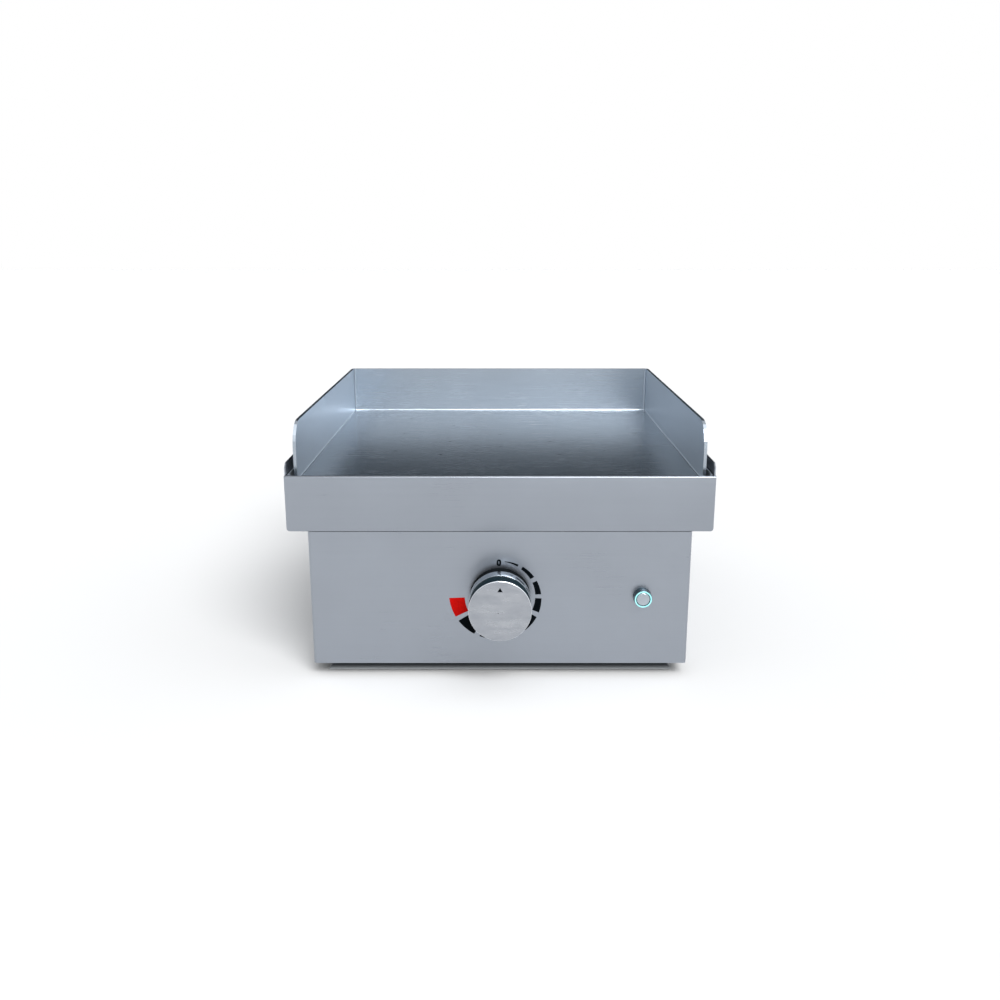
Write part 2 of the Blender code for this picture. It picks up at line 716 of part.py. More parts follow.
def make_thermostat():
    bracket_front = BODY_FRONT + SHEET + GAP
    bracket_back = bracket_front + SHEET
    half_width = 30 * MM
    low = (-half_width, bracket_front, CONTROL_Z - half_width)
    high = (half_width, bracket_back, CONTROL_Z + half_width)
    bracket = box("thermostat_bracket", low, high, "galvanised_steel")
    combine(bracket, bpy.data.objects["cut_shaft_hole"])
    body_front = bracket_back + GAP
    low = (-THERMOSTAT_HALF, body_front, CONTROL_Z - THERMOSTAT_HALF)
    high = (THERMOSTAT_HALF, body_front + 34 * MM, CONTROL_Z + THERMOSTAT_HALF)
    body = box("thermostat_body", low, high, "black_plastic")
    boss = hole_cutter("join_bush", [(0, CONTROL_Z)], SHAFT_HOLE - GAP, -GAP, body_front + 5 * MM, "Y", 24)
    combine(body, boss, "UNION")
    bore = hole_cutter("cut_shaft_bore", [(0, CONTROL_Z)], SHAFT_RADIUS + GAP, -5 * MM, body_front + 10 * MM, "Y")
    combine(body, bore)
    shaft_end = body_front + 9 * MM
    sections = [(SHAFT_RADIUS, SHAFT_FRONT, shaft_end)]
    turned("thermostat_shaft", solid_profile(sections), "Y", "zinc_screw", (0, 0, CONTROL_Z), 12)


def make_sensor():
    bulb_z = SPREADER_BOTTOM - GAP - BULB_RADIUS
    bulb_front = 200 * MM
    sections = [(BULB_RADIUS, bulb_front, bulb_front + 110 * MM)]
    turned("sensing_bulb", solid_profile(sections), "Y", "copper", (0, 0, bulb_z), 12)
    turn = 12 * MM
    centre = (CAPILLARY_HOLE_Y + turn, bulb_z - turn)
    route = [(0, bulb_front - GAP, bulb_z)]
    route += [(0, y, z) for y, z in arc(centre, turn, 90, 180, 4)]
    thermostat_top = (0, LEAD_Y, CONTROL_Z + THERMOSTAT_HALF + GAP)
    down_to = (0, CAPILLARY_HOLE_Y, DECK_BOTTOM - 4 * MM)
    route += smooth_route(down_to, (0, 0, -30 * MM), thermostat_top, (0, 0, 25 * MM), 12)
    tube("capillary_tube", route, 1 * MM, "copper")


def make_knob():
    """Base ring, chrome skirt, dark grip band and brushed face, all turned about the shaft."""
    centre = (0, 0, CONTROL_Z)
    bore = 12 * MM
    edge = 0.6 * MM
    steps = 40
    base_back = -1 * MM
    base_front = -11 * MM
    skirt_back = base_front - GAP
    skirt_front = -23.9 * MM
    band_back = skirt_front - GAP
    band_front = -38.7 * MM
    face_back = band_front - GAP
    base = ring_profile(bore, KNOB_BAND_RADIUS, base_front, base_back)
    turned("knob_base_ring", base, "Y", "black_plastic", centre, steps)
    skirt = [
        (bore, skirt_back),
        (bore, skirt_front),
        (KNOB_RADIUS - edge, skirt_front),
        (KNOB_RADIUS, skirt_front + edge),
        (KNOB_RADIUS, skirt_back - edge),
        (KNOB_RADIUS - edge, skirt_back),
    ]
    turned("knob_skirt_ring", skirt, "Y", "chrome", centre, steps)
    band = ring_profile(bore, KNOB_BAND_RADIUS, band_front, band_back)
    turned("knob_grip_band", band, "Y", "dark_chrome", centre, steps)
    boss = 11 * MM
    boss_back = -14 * MM
    shaft_bore = SHAFT_RADIUS + GAP
    bore_front = SHAFT_FRONT - GAP
    face = [
        (0, -KNOB_REACH),
        (KNOB_FACE_RADIUS - edge, -KNOB_REACH),
        (KNOB_FACE_RADIUS, -KNOB_REACH + edge),
        (KNOB_FACE_RADIUS, face_back),
        (boss, face_back),
        (boss, boss_back),
        (shaft_bore, boss_back),
        (shaft_bore, bore_front),
        (0, bore_front),
    ]
    turned("knob_face_cap", face, "Y", "polished_steel", centre, steps)


# ---- Push button -------------------------------------------------------------------------------------


def make_button():
    """A lit stainless push button, screwed through the panel with a nut and a switch behind."""
    centre = (BUTTON_X, 0, CONTROL_Z)
    panel_back = BODY_FRONT + SHEET
    collar_front = -8.1 * MM
    collar_back = BODY_FRONT - GAP
    bore = 6.7 * MM
    collar = [
        (bore, collar_front),
        (9 * MM, collar_front),
        (9.3 * MM, collar_front + 0.3 * MM),
        (10.2 * MM, collar_back),
        (BARREL_RADIUS, collar_back),
        (BARREL_RADIUS, BARREL_BACK),
        (bore, BARREL_BACK),
    ]
    turned("button_collar", collar, "Y", "dark_chrome", centre, 32)
    ring_front = -8.9 * MM
    ring_back = collar_front - GAP
    ring = ring_profile(6.9 * MM, 8.6 * MM, ring_front, ring_back)
    turned("button_light_ring", ring, "Y", "light_ring", centre, 32)
    cap_front = -8.6 * MM
    cap_edge = 0.3 * MM
    cap_back = -2 * MM
    cap_radius = 6.4 * MM
    stem_radius = 2.5 * MM
    stem_end = BARREL_BACK - GAP - BUTTON_TRAVEL
    sections = [
        (cap_radius - cap_edge, cap_front, cap_front + cap_edge),
        (cap_radius, cap_front + cap_edge, cap_back),
        (stem_radius, cap_back, stem_end),
    ]
    turned("button_cap", solid_profile(sections), "Y", "stainless_steel", centre, 32)
    nut_front = panel_back + GAP
    hexagon = arc((0, 0), 12 * MM, 0, 300, 5)
    nut = prism("button_nut", hexagon, nut_front, nut_front + 3.5 * MM, "Y", "zinc_screw", centre)
    nut_bore = BARREL_RADIUS + GAP
    combine(nut, hole_cutter("cut_nut_bore", [(BUTTON_X, CONTROL_Z)], nut_bore, 0, 10 * MM, "Y", 24))
    low = (BUTTON_X - SWITCH_HALF, BARREL_BACK + GAP, CONTROL_Z - SWITCH_HALF)
    high = (BUTTON_X + SWITCH_HALF, SWITCH_BACK, CONTROL_Z + SWITCH_HALF)
    box("button_switch_body", low, high, "black_plastic", 1 * MM)


# ---- Wiring and inlet --------------------------------------------------------------------------------


def around_inlet(half_x, half_z, corner):
    low = (INLET_X - half_x, INLET_Z - half_z)
    high = (INLET_X + half_x, INLET_Z + half_z)
    return rounded_rectangle(low, high, corner)


def make_inlet_body(screw_places):
    flange = around_inlet(*INLET_FLANGE_HALF, 5 * MM)
    inlet = prism("power_inlet", flange, INLET_FRONT, INLET_BACK, "Y", "black_plastic")
    half_x, half_z = INLET_HALF
    bm = bmesh.new()
    prism_into(bm, around_inlet(half_x, half_z, 2.5 * MM), BARREL_END, INLET_BACK - 1 * MM, "Y")
    combine(inlet, helper(bm, "join_inlet_barrel"), "UNION")
    wall = 2.4 * MM
    over = 2 * MM
    bm = bmesh.new()
    prism_into(bm, around_inlet(half_x - wall, half_z - wall, 2 * MM), SOCKET_FLOOR, INLET_BACK + over, "Y")
    combine(inlet, helper(bm, "cut_inlet_socket"))
    reach = 6 * MM
    holes = hole_cutter("cut_inlet_screws", screw_places, 2 * MM, INLET_FRONT - reach, INLET_BACK + reach, "Y")
    combine(inlet, holes)
    combine(bpy.data.objects["rear_panel"], holes)


def make_inlet():
    """The appliance inlet in the rear panel, with its three pins and two screws."""
    screw_places = [(INLET_X - INLET_SCREW_X, INLET_Z), (INLET_X + INLET_SCREW_X, INLET_Z)]
    make_inlet_body(screw_places)
    pin_x = 8 * MM
    pin_z = 4 * MM
    pin_half_width = 1 * MM
    pin_half_height = 3.5 * MM
    pin_end = INLET_BACK - 2.5 * MM
    for name, x, z in (("live", -pin_x, -pin_z), ("neutral", pin_x, -pin_z), ("earth", 0, pin_z)):
        low = (INLET_X + x - pin_half_width, SOCKET_FLOOR + GAP, INLET_Z + z - pin_half_height)
        high = (INLET_X + x + pin_half_width, pin_end, INLET_Z + z + pin_half_height)
        box(f"inlet_pin_{name}", low, high, "brass")
    head_face = INLET_BACK + GAP
    sections = [(1.7 * MM, head_face - 9 * MM, head_face), (3.2 * MM, head_face, head_face + 1.8 * MM)]
    for index, (x, z) in enumerate(screw_places):
        turned(f"inlet_screw_{index + 1}", solid_profile(sections), "Y", "zinc_screw", (x, 0, z), 12)


def lead_routes(block_low, block_high):
    """Each lead's start, start pull, end and end pull; a lead stops LEAD_GAP short of what it serves."""
    inlet_end = BARREL_END - LEAD_GAP
    block_top = block_high[2] + LEAD_GAP
    block_y = (block_low[1] + block_high[1]) / 2
    side = THERMOSTAT_HALF + LEAD_GAP
    terminal_x = element_run_x(ELEMENT_RUNS - 1)
    below_terminal = TERMINAL_END - LEAD_GAP

    def block(x):
        return (x, block_y, block_top)

    def above(height):
        return (0, 0, height)

    return {
        "wire_inlet_live": (
            (INLET_X + 6 * MM, inlet_end, INLET_Z),
            (0, -40 * MM, 0),
            block(-62 * MM),
            above(40 * MM),
        ),
        "wire_inlet_neutral": (
            (INLET_X - 6 * MM, inlet_end, INLET_Z + 6 * MM),
            (0, -60 * MM, 0),
            block(-52 * MM),
            above(60 * MM),
        ),
        "wire_block_to_switch": (
            block(-30 * MM),
            above(100 * MM),
            (BUTTON_X, SWITCH_BACK + LEAD_GAP, CONTROL_Z),
            (0, 120 * MM, 0),
        ),
        "wire_switch_to_thermostat": (
            (BUTTON_X - SWITCH_HALF - LEAD_GAP, 28 * MM, CONTROL_Z),
            (-30 * MM, 0, 0),
            (side, LEAD_Y, CONTROL_Z),
            (30 * MM, 0, 0),
        ),
        "wire_thermostat_to_element": (
            (-side, LEAD_Y, CONTROL_Z),
            (-60 * MM, 0, 0),
            (-terminal_x, TERMINAL_Y, below_terminal),
            above(-40 * MM),
        ),
        "wire_element_to_block": (
            (terminal_x, TERMINAL_Y, below_terminal),
            above(-40 * MM),
            block(-40 * MM),
            above(60 * MM),
        ),
    }


def make_wiring():
    """The terminal block on the plinth's floor, and the leads between it, the controls and the element."""
    floor = FOOT_HEIGHT + SHEET + GAP
    block_low = (-70 * MM, 320 * MM, floor)
    block_high = (-20 * MM, 342 * MM, floor + 20 * MM)
    box("terminal_block", block_low, block_high, "white_plastic", 1 * MM)
    neutral_leads = ("wire_inlet_neutral", "wire_element_to_block")
    for name, (start, start_pull, end, end_pull) in lead_routes(block_low, block_high).items():
        finish = "blue_wire" if name in neutral_leads else "brown_wire"
        tube(name, smooth_route(start, start_pull, end, end_pull), LEAD_RADIUS, finish)


def build():
    stack_holes = hole_cutter("cut_stack_holes", BOLT_PLACES, BOLT_RADIUS + 0.6 * MM, 140 * MM, 200 * MM, "Z")
    lead_places = [(element_run_x(0), TERMINAL_Y), (element_run_x(ELEMENT_RUNS - 1), TERMINAL_Y)]
    lead_places.append((0, CAPILLARY_HOLE_Y))
    lead_holes = hole_cutter("cut_lead_holes", lead_places, ELEMENT_RADIUS + 1 * MM, 140 * MM, 180 * MM, "Z")
    screw_holes = hole_cutter("cut_rear_screws", REAR_SCREWS, 2 * MM, BODY_BACK - 5 * MM, BODY_BACK + 5 * MM, "Y")

    make_body_shell()
    make_rear_panel(screw_holes)
    make_rear_screws(screw_holes)
    make_base_plinth()
    make_feet()

    make_upper_skirt()
    make_top_deck(stack_holes, lead_holes)
    make_tray_front()
    make_tray_pan()
    make_tray_runners()

    make_griddle_plate()
    make_heat_spreader(stack_holes)
    tube("heating_element", element_route(), ELEMENT_RADIUS, "galvanised_steel")
    make_clamp_plate(stack_holes)
    make_plate_bolts()
    make_insulation_pad(stack_holes, lead_holes)
    make_heat_shield(stack_holes, lead_holes)
    make_limit_cutout()

    make_thermostat()
    make_sensor()
    make_knob()
    make_button()
    make_inlet()
    make_wiring()


build()
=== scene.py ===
"""The looks of the electric griddle: finishes, fine pieces, light and camera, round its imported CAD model.

Lengths are metres in the model's own frame: +Z is up and the front faces -Y.
"""

import json
import math

import bmesh
import bpy
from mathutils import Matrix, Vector


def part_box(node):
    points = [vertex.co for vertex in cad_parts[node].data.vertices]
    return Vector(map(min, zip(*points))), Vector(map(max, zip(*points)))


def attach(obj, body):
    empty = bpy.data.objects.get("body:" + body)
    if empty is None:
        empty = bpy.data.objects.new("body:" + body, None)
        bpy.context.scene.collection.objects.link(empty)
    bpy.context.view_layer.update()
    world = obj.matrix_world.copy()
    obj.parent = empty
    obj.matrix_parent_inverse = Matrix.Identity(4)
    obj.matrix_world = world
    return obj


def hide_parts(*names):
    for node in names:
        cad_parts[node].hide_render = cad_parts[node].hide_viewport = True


MM = 0.001

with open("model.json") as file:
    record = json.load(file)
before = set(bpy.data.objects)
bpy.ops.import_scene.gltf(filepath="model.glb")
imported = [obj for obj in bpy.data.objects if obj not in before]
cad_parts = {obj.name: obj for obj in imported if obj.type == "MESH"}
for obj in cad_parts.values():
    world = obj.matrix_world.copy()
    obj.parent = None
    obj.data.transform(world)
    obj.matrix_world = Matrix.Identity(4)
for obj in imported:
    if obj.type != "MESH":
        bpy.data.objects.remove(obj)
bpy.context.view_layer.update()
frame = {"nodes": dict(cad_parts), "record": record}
NODES = frame["nodes"]
SCENE = bpy.context.scene

# ---- Places read from the CAD model ------------------------------------------------------------------


def middle(node):
    low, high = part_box(node)
    return (low + high) / 2


def turned_span(node):
    """The front and back along Y, and the radius, of a node that is turned about a line along Y."""
    low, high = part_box(node)
    return low.y, high.y, (high.x - low.x) / 2


TRAY_LOW, TRAY_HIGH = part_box("tray_front")
BODY_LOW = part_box("body_shell")[0]
FRONT_Y = TRAY_LOW.y
TRAY_TOP = TRAY_HIGH.z
TRAY_HALF = TRAY_HIGH.x
PANEL_Y = BODY_LOW.y
KNOB = middle("knob_face_cap")
BUTTON = middle("button_collar")


# ---- Node trees --------------------------------------------------------------------------------------


class Nodes:
    """A shader node tree, with short calls that add to it and give back an output."""

    def __init__(self, tree):
        self.tree = tree

    def put(self, value, socket):
        """Links an output to a socket, or gives the socket a plain value."""
        if isinstance(value, bpy.types.NodeSocket):
            self.tree.links.new(value, socket)
        else:
            socket.default_value = value

    def add(self, kind, inputs=None, **settings):
        """A new node, with what goes into its named sockets, and its own settings."""
        made = self.tree.nodes.new("ShaderNode" + kind)
        for name, value in settings.items():
            setattr(made, name, value)
        for name, value in (inputs or {}).items():
            self.put(value, made.inputs[name])
        return made

    def calculate(self, operation, *values):
        step = self.add("Math", operation=operation)
        for value, socket in zip(values, step.inputs):
            self.put(value, socket)
        return step.outputs[0]

    def sum(self, total, *others):
        for value in others:
            total = self.calculate("ADD", total, value)
        return total

    def component(self, vector, axis):
        return self.add("SeparateXYZ", {"Vector": vector}).outputs[axis]

    def span(self, value, low, high, start=0.25, end=0.75, curve="LINEAR"):
        """The value's range from start to end, spread over low to high."""
        inputs = {"Value": value, "From Min": start, "From Max": end, "To Min": low, "To Max": high}
        return self.add("MapRange", inputs, interpolation_type=curve).outputs["Result"]

    def mix(self, factor, first, second):
        """first where factor is 0 and second where it is 1; colours or single values."""
        made = self.add("MixRGB")
        for socket, value in (("Fac", factor), ("Color1", first), ("Color2", second)):
            if isinstance(value, tuple):
                value = (*value, 1)
            elif not isinstance(value, bpy.types.NodeSocket) and socket != "Fac":
                value = (value, value, value, 1)
            self.put(value, made.inputs[socket])
        return made.outputs["Color"]


class Finish(Nodes):
    """One material, round its Principled shader."""

    def __init__(self, name, colour=(0.5, 0.5, 0.5), roughness=0.5, metallic=0.0):
        self.material = bpy.data.materials.new(name)
        self.material.use_nodes = True
        super().__init__(self.material.node_tree)
        self.shader = self.tree.nodes["Principled BSDF"]
        self.colour = colour
        self.roughness = roughness
        self.normal = None
        self.set("Base Color", (*colour, 1))
        self.set("Roughness", roughness)
        self.set("Metallic", metallic)

    def set(self, socket, value):
        self.put(value, self.shader.inputs[socket])

    def place(self, scale, turn=(0, 0, 0)):
        """The place on the object, with scale in features per metre along X, Y and Z."""
        coordinates = self.add("TexCoord").outputs["Object"]
        mapping = self.add("Mapping", {"Vector": coordinates, "Scale": scale, "Rotation": turn})
        return mapping.outputs["Vector"]

    def noise(self, scale, detail=2.0, rough=0.5, turn=(0, 0, 0)):
        inputs = {"Vector": self.place(scale, turn), "Scale": 1.0, "Detail": detail, "Roughness": rough}
        return self.add("TexNoise", inputs).outputs["Fac"]

    def cells(self, scale):
        """A random colour for each of the cells that the object is divided into."""
        return self.add("TexVoronoi", {"Vector": self.place(scale), "Scale": 1.0}).outputs["Color"]

    def shade(self, amount, value):
        """The base colour, lighter and darker by amount as value goes over its range."""
        light = tuple(min(1.0, channel * (1 + amount)) for channel in self.colour)
        dark = tuple(channel * (1 - amount) for channel in self.colour)
        self.set("Base Color", self.mix(self.span(value, 0, 1), dark, light))

    def vary_roughness(self, amount, value):
        self.set("Roughness", self.span(value, self.roughness - amount, self.roughness + amount))

    def bump(self, height, depth, strength):
        """Relief from a height map, on top of any relief that the finish already has."""
        made = self.add("Bump", {"Height": height, "Distance": depth, "Strength": strength})
        if self.normal:
            self.put(self.normal, made.inputs["Normal"])
        self.normal = made.outputs["Normal"]
        self.set("Normal", self.normal)

    def facing(self, axis, start=0.6, end=0.8):
        """1 on faces that point along the axis, either way, and 0 on the others."""
        normal = self.add("TexCoord").outputs["Normal"]
        size = self.calculate("ABSOLUTE", self.component(normal, axis))
        return self.span(size, 0, 1, start, end)


# ---- Finishes ----------------------------------------------------------------------------------------

GRAIN_CONTRAST = 0.07


def scaled(colour, factor):
    return tuple(channel * factor for channel in colour)


def brushed_steel(
    name,
    colour,
    roughness,
    smudge=0.03,
    scratches=0.0,
    tone_range=0.12,
    painted_level_shade=1.0,
    side_roughness=0.0,
    painted_side_light=1.0,
):
    """Sheet with a fine ground grain along its length and faint clouding from handling.

    The clouding changes the roughness by up to smudge, the grain moves the colour by tone_range, and
    scratches is the strength of a few scratches. Faces that point left or right are rougher by
    side_roughness, with their colour times painted_side_light, which is painted light. Faces that point up
    or down, as cut and rolled edges do, have their colour times painted_level_shade, which is painted shade.
    """
    finish = Finish(name, metallic=1.0)
    sideways = finish.facing("X")
    fine = finish.mix(sideways, finish.noise((14, 1900, 1900)), finish.noise((1900, 14, 1900)))
    streaks = finish.mix(sideways, finish.noise((5, 420, 420)), finish.noise((420, 5, 420)))
    clouds = finish.noise((11, 11, 11), 4.0, 0.6)

    grain = finish.sum(finish.span(fine, -0.03, 0.03), finish.span(streaks, -0.01, 0.01))
    cloud = finish.span(clouds, -smudge, smudge)
    sides = finish.span(sideways, 0, side_roughness, 0, 1)
    finish.set("Roughness", finish.sum(roughness, grain, cloud, sides))

    tone = finish.sum(
        0.5,
        finish.span(fine, -tone_range, tone_range),
        finish.span(streaks, -tone_range, tone_range),
        finish.span(clouds, -0.2, 0.2),
    )
    dark = scaled(colour, 1 - GRAIN_CONTRAST)
    light = scaled(colour, 1 + GRAIN_CONTRAST)
    sheet = finish.mix(tone, dark, light)
    # Painted light: faces that point left or right get a lighter copy of the sheet's colour.
    if painted_side_light > 1:
        side_lit_sheet = finish.mix(tone, scaled(dark, painted_side_light), scaled(light, painted_side_light))
        sheet = finish.mix(sideways, sheet, side_lit_sheet)
    # Painted shade: faces that point up or down, such as the rolled bead, get a darker colour.
    if painted_level_shade < 1:
        sheet = finish.mix(finish.facing("Z", 0.2, 0.5), sheet, scaled(colour, painted_level_shade))
    finish.set("Base Color", sheet)

    finish.bump(fine, 0.006 * MM, 0.15)
    finish.bump(clouds, 0.05 * MM, 0.2)
    if scratches:
        lines = finish.noise((9, 650, 650), 1.0, 0.5, (0, 0, 0.35))
        crossing = finish.noise((700, 8, 700), 1.0, 0.5, (0, 0, 0.25))
        marks = finish.sum(finish.span(lines, 0, 1, 0.70, 0.78), finish.span(crossing, 0, 1, 0.71, 0.79))
        finish.bump(marks, -0.02 * MM, scratches)
    return finish


def zinc_skin(finish):
    """Uneven gloss and faint relief of zinc; gives back its crystals and clouds for the colour."""
    crystals = finish.component(finish.cells((95, 95, 95)), "X")
    clouds = finish.noise((30, 30, 30), 4.0, 0.6)
    finish.set("Roughness", finish.span(crystals, finish.roughness - 0.08, finish.roughness + 0.1, 0, 1))
    finish.bump(clouds, 0.08 * MM, 0.3)
    return crystals, clouds


def galvanised_sheet(name):
    """Zinc spangle: flat crystals of slightly different grey."""
    finish = Finish(name, (0.44, 0.46, 0.48), 0.42, 0.85)
    crystals, clouds = zinc_skin(finish)
    finish.shade(0.2, finish.sum(finish.span(crystals, 0.3, 0.6, 0, 1), finish.span(clouds, -0.05, 0.15)))
    return finish


def plinth_sheet(name):
    """Pale sheet, darkened towards its top with painted shade where it sits under the body's edge, and pale
    near the worktop.
    """
    # Painted shade: near-black high on the plinth under the body, fading to the pale sheet near the worktop.
    painted_shade = (0.003, 0.006, 0.009)
    pale = (0.36, 0.375, 0.39)
    shade_below_body = 4 * MM
    lit_below_body = 12.4 * MM
    finish = Finish(name, roughness=0.6)
    zinc_skin(finish)
    finish.set("IOR", 1.12)
    height = finish.component(finish.add("TexCoord").outputs["Object"], "Z")
    # The share of pale colour rises from the painted shade under the body towards the worktop.
    lit_share = finish.span(height, 0, 1, BODY_LOW.z - shade_below_body, BODY_LOW.z - lit_below_body)
    finish.set("Base Color", finish.mix(finish.calculate("POWER", lit_share, 3), painted_shade, pale))
    return finish


def milled_aluminium(name):
    finish = Finish(name, (0.68, 0.69, 0.70), 0.38, 1.0)
    passes = finish.noise((6, 700, 700), 2.0)
    clouds = finish.noise((14, 14, 14), 4.0)
    finish.shade(0.08, finish.mix(0.5, passes, clouds))
    finish.vary_roughness(0.07, passes)
    finish.bump(passes, 0.03 * MM, 0.5)
    return finish


def heat_tinted(name):
    """Nickel-alloy sheath, straw to blue-brown where it has run hot."""
    grey_brown, straw, blue = (0.16, 0.15, 0.17), (0.30, 0.23, 0.16), (0.20, 0.21, 0.27)
    finish = Finish(name, roughness=0.42, metallic=0.9)
    patches = finish.noise((24, 24, 24), 4.0, 0.65)
    warm = finish.mix(finish.span(patches, 0, 1, 0.35, 0.55), grey_brown, straw)
    finish.set("Base Color", finish.mix(finish.span(patches, 0, 1, 0.55, 0.7), warm, blue))
    speckle = finish.noise((1500, 1500, 1500), 2.0)
    finish.vary_roughness(0.08, speckle)
    finish.bump(speckle, 0.03 * MM, 0.4)
    return finish


def ceramic_fibre(name):
    finish = Finish(name, (0.82, 0.80, 0.74), 0.95)
    fibres = finish.noise((160, 900, 500), 5.0, 0.7, (0.3, 0.2, 0.5))
    lumps = finish.noise((40, 40, 40), 4.0)
    finish.shade(0.1, finish.mix(0.5, fibres, lumps))
    finish.bump(lumps, 1.2 * MM, 0.5)
    finish.bump(fibres, 0.35 * MM, 0.7)
    finish.set("Sheen Weight", 0.3)
    return finish


def plated(name, colour, roughness, cloud=0.04):
    """Zinc, chrome, copper or brass: an even metal with faint tarnish and fine rubbing marks."""
    finish = Finish(name, colour, metallic=1.0)
    tarnish = finish.noise((70, 70, 70), 4.0, 0.6)
    rubbing = finish.noise((1600, 260, 1600), 2.0, 0.5, (0.4, 0.2, 0.6))
    finish.shade(cloud, tarnish)
    dull, rubbed = finish.span(tarnish, -0.04, 0.04), finish.span(rubbing, -0.02, 0.03)
    finish.set("Roughness", finish.sum(dull, rubbed, roughness))
    finish.bump(rubbing, 0.006 * MM, 0.4)
    return finish


def moulded(name, colour, roughness, spark=0.5, ior=1.45):
    """Spark-eroded plastic: a fine even texture of strength spark, with a little gloss variation."""
    finish = Finish(name, colour, roughness)
    texture = finish.noise((2600, 2600, 2600), 2.0)
    clouds = finish.noise((60, 60, 60), 3.0)
    finish.shade(0.12, clouds)
    finish.vary_roughness(0.08, clouds)
    finish.bump(texture, 0.05 * MM, spark)
    finish.set("IOR", ior)
    return finish


def sleeved(name, colour):
    """Braided glass sleeving over a lead."""
    finish = Finish(name, colour, 0.62)
    one_way = finish.noise((900, 900, 240), 1.0, 0.5, (0.7, 0.7, 0))
    other_way = finish.noise((900, 900, 240), 1.0, 0.5, (-0.7, -0.7, 0))
    braid = finish.mix(0.5, one_way, other_way)
    finish.shade(0.22, braid)
    finish.bump(braid, 0.15 * MM, 0.6)
    return finish


def rubber(name):
    """Black rubber with a little pale dust on it."""
    black, dusty = (0.02, 0.02, 0.022), (0.10, 0.10, 0.10)
    finish = Finish(name, roughness=0.82)
    speckle = finish.noise((1400, 1400, 1400), 3.0)
    dust = finish.noise((55, 55, 55), 4.0)
    finish.set("Base Color", finish.mix(finish.span(dust, 0, 0.4, 0.5, 0.8), black, dusty))
    finish.bump(speckle, 0.08 * MM, 0.5)
    return finish


def knob_face_finish(name):
    """Bright steel, brushed on its face, with wavy streaks where the polish is uneven, and a painted
    highlight on its rim.
    """
    dark, light, rim = (0.29, 0.31, 0.345), (0.46, 0.475, 0.50), (0.92, 0.94, 0.97)
    finish = Finish(name, metallic=1.0)
    streaks = finish.noise((28, 900, 170), 4.0, 0.6, (0, 0.25, 0))
    waves = finish.noise((36, 36, 130), 3.0, 0.6, (0, 0.3, 0))
    uneven = finish.span(streaks, -0.05, 0.05), finish.span(waves, -0.05, 0.05)
    finish.set("Roughness", finish.sum(0.25, *uneven))
    tone = finish.sum(finish.span(streaks, 0.0, 0.2), finish.span(waves, 0.1, 0.75))
    polish = finish.mix(tone, dark, light)
    # Painted highlight: where the rounded rim turns away from the front it gets a near-white colour.
    finish.set("Base Color", finish.mix(finish.facing("Y", 0.75, 0.97), rim, polish))
    finish.bump(streaks, 0.01 * MM, 0.3)
    finish.bump(waves, 0.08 * MM, 0.4)
    return finish


def printed(name, colour):
    """Screen-printed ink: slightly uneven, with a dull gloss."""
    finish = Finish(name, colour, 0.42)
    mottle = finish.noise((500, 500, 500), 3.0)
    finish.shade(0.15, mottle)
    finish.vary_roughness(0.06, mottle)
    finish.set("Specular IOR Level", 0.02)
    return finish


def light_ring_finish(name):
    """Translucent ring that glows a little unevenly."""
    finish = Finish(name, (0.06, 0.20, 0.21), 0.35)
    glow = finish.span(finish.noise((380, 380, 380), 2.0), 0, 1)
    finish.set("Emission Color", finish.mix(glow, (0.34, 0.84, 0.87), (0.62, 0.97, 0.98)))
    finish.set("Emission Strength", 0.8)
    return finish


FINISHES = {
    # The satin stainless has painted shade on faces that point up or down; the griddle stainless has painted
    # light on faces that point left or right.
    "brushed_stainless": brushed_steel(
        "satin_stainless", (0.322, 0.347, 0.388), 0.31, tone_range=0.06, painted_level_shade=0.42
    ),
    "griddle_stainless": brushed_steel(
        "griddle_stainless",
        (0.415, 0.46, 0.51),
        0.25,
        smudge=0.02,
        scratches=0.08,
        tone_range=0.04,
        side_roughness=0.10,
        painted_side_light=1.3,
    ),
    "galvanised_sheet": galvanised_sheet("galvanised_sheet"),
    "spreader_aluminium": milled_aluminium("milled_aluminium"),
    "element_sheath": heat_tinted("heat_tinted_sheath"),
    "ceramic_insulation": ceramic_fibre("ceramic_fibre"),
    "zinc_fasteners": plated("bright_zinc", (0.56, 0.57, 0.60), 0.28, 0.1),
    "black_moulding": moulded("black_moulding", (0.022, 0.022, 0.024), 0.42),
    "knob_chrome": plated("chrome", (0.36, 0.40, 0.44), 0.16),
    "knob_dark_band": moulded("dark_band", (0.004, 0.011, 0.015), 0.3, 0.1, ior=1.05),
    "knob_face": knob_face_finish("brushed_knob_face"),
    "button_bezel": plated("bezel_chrome", (0.045, 0.075, 0.095), 0.12),
    "button_steel": plated("button_steel", (0.42, 0.46, 0.50), 0.34),
    "button_light": light_ring_finish("light_ring"),
    "copper_capillary": plated("drawn_copper", (0.62, 0.32, 0.20), 0.30, 0.18),
    "brass_pins": plated("brass", (0.68, 0.50, 0.24), 0.26, 0.1),
    "terminal_plastic": moulded("terminal_plastic", (0.80, 0.78, 0.72), 0.45),
    "foot_rubber": rubber("foot_rubber"),
    "lead_brown": sleeved("brown_sleeve", (0.22, 0.09, 0.04)),
    "lead_blue": sleeved("blue_sleeve", (0.04, 0.11, 0.40)),
}

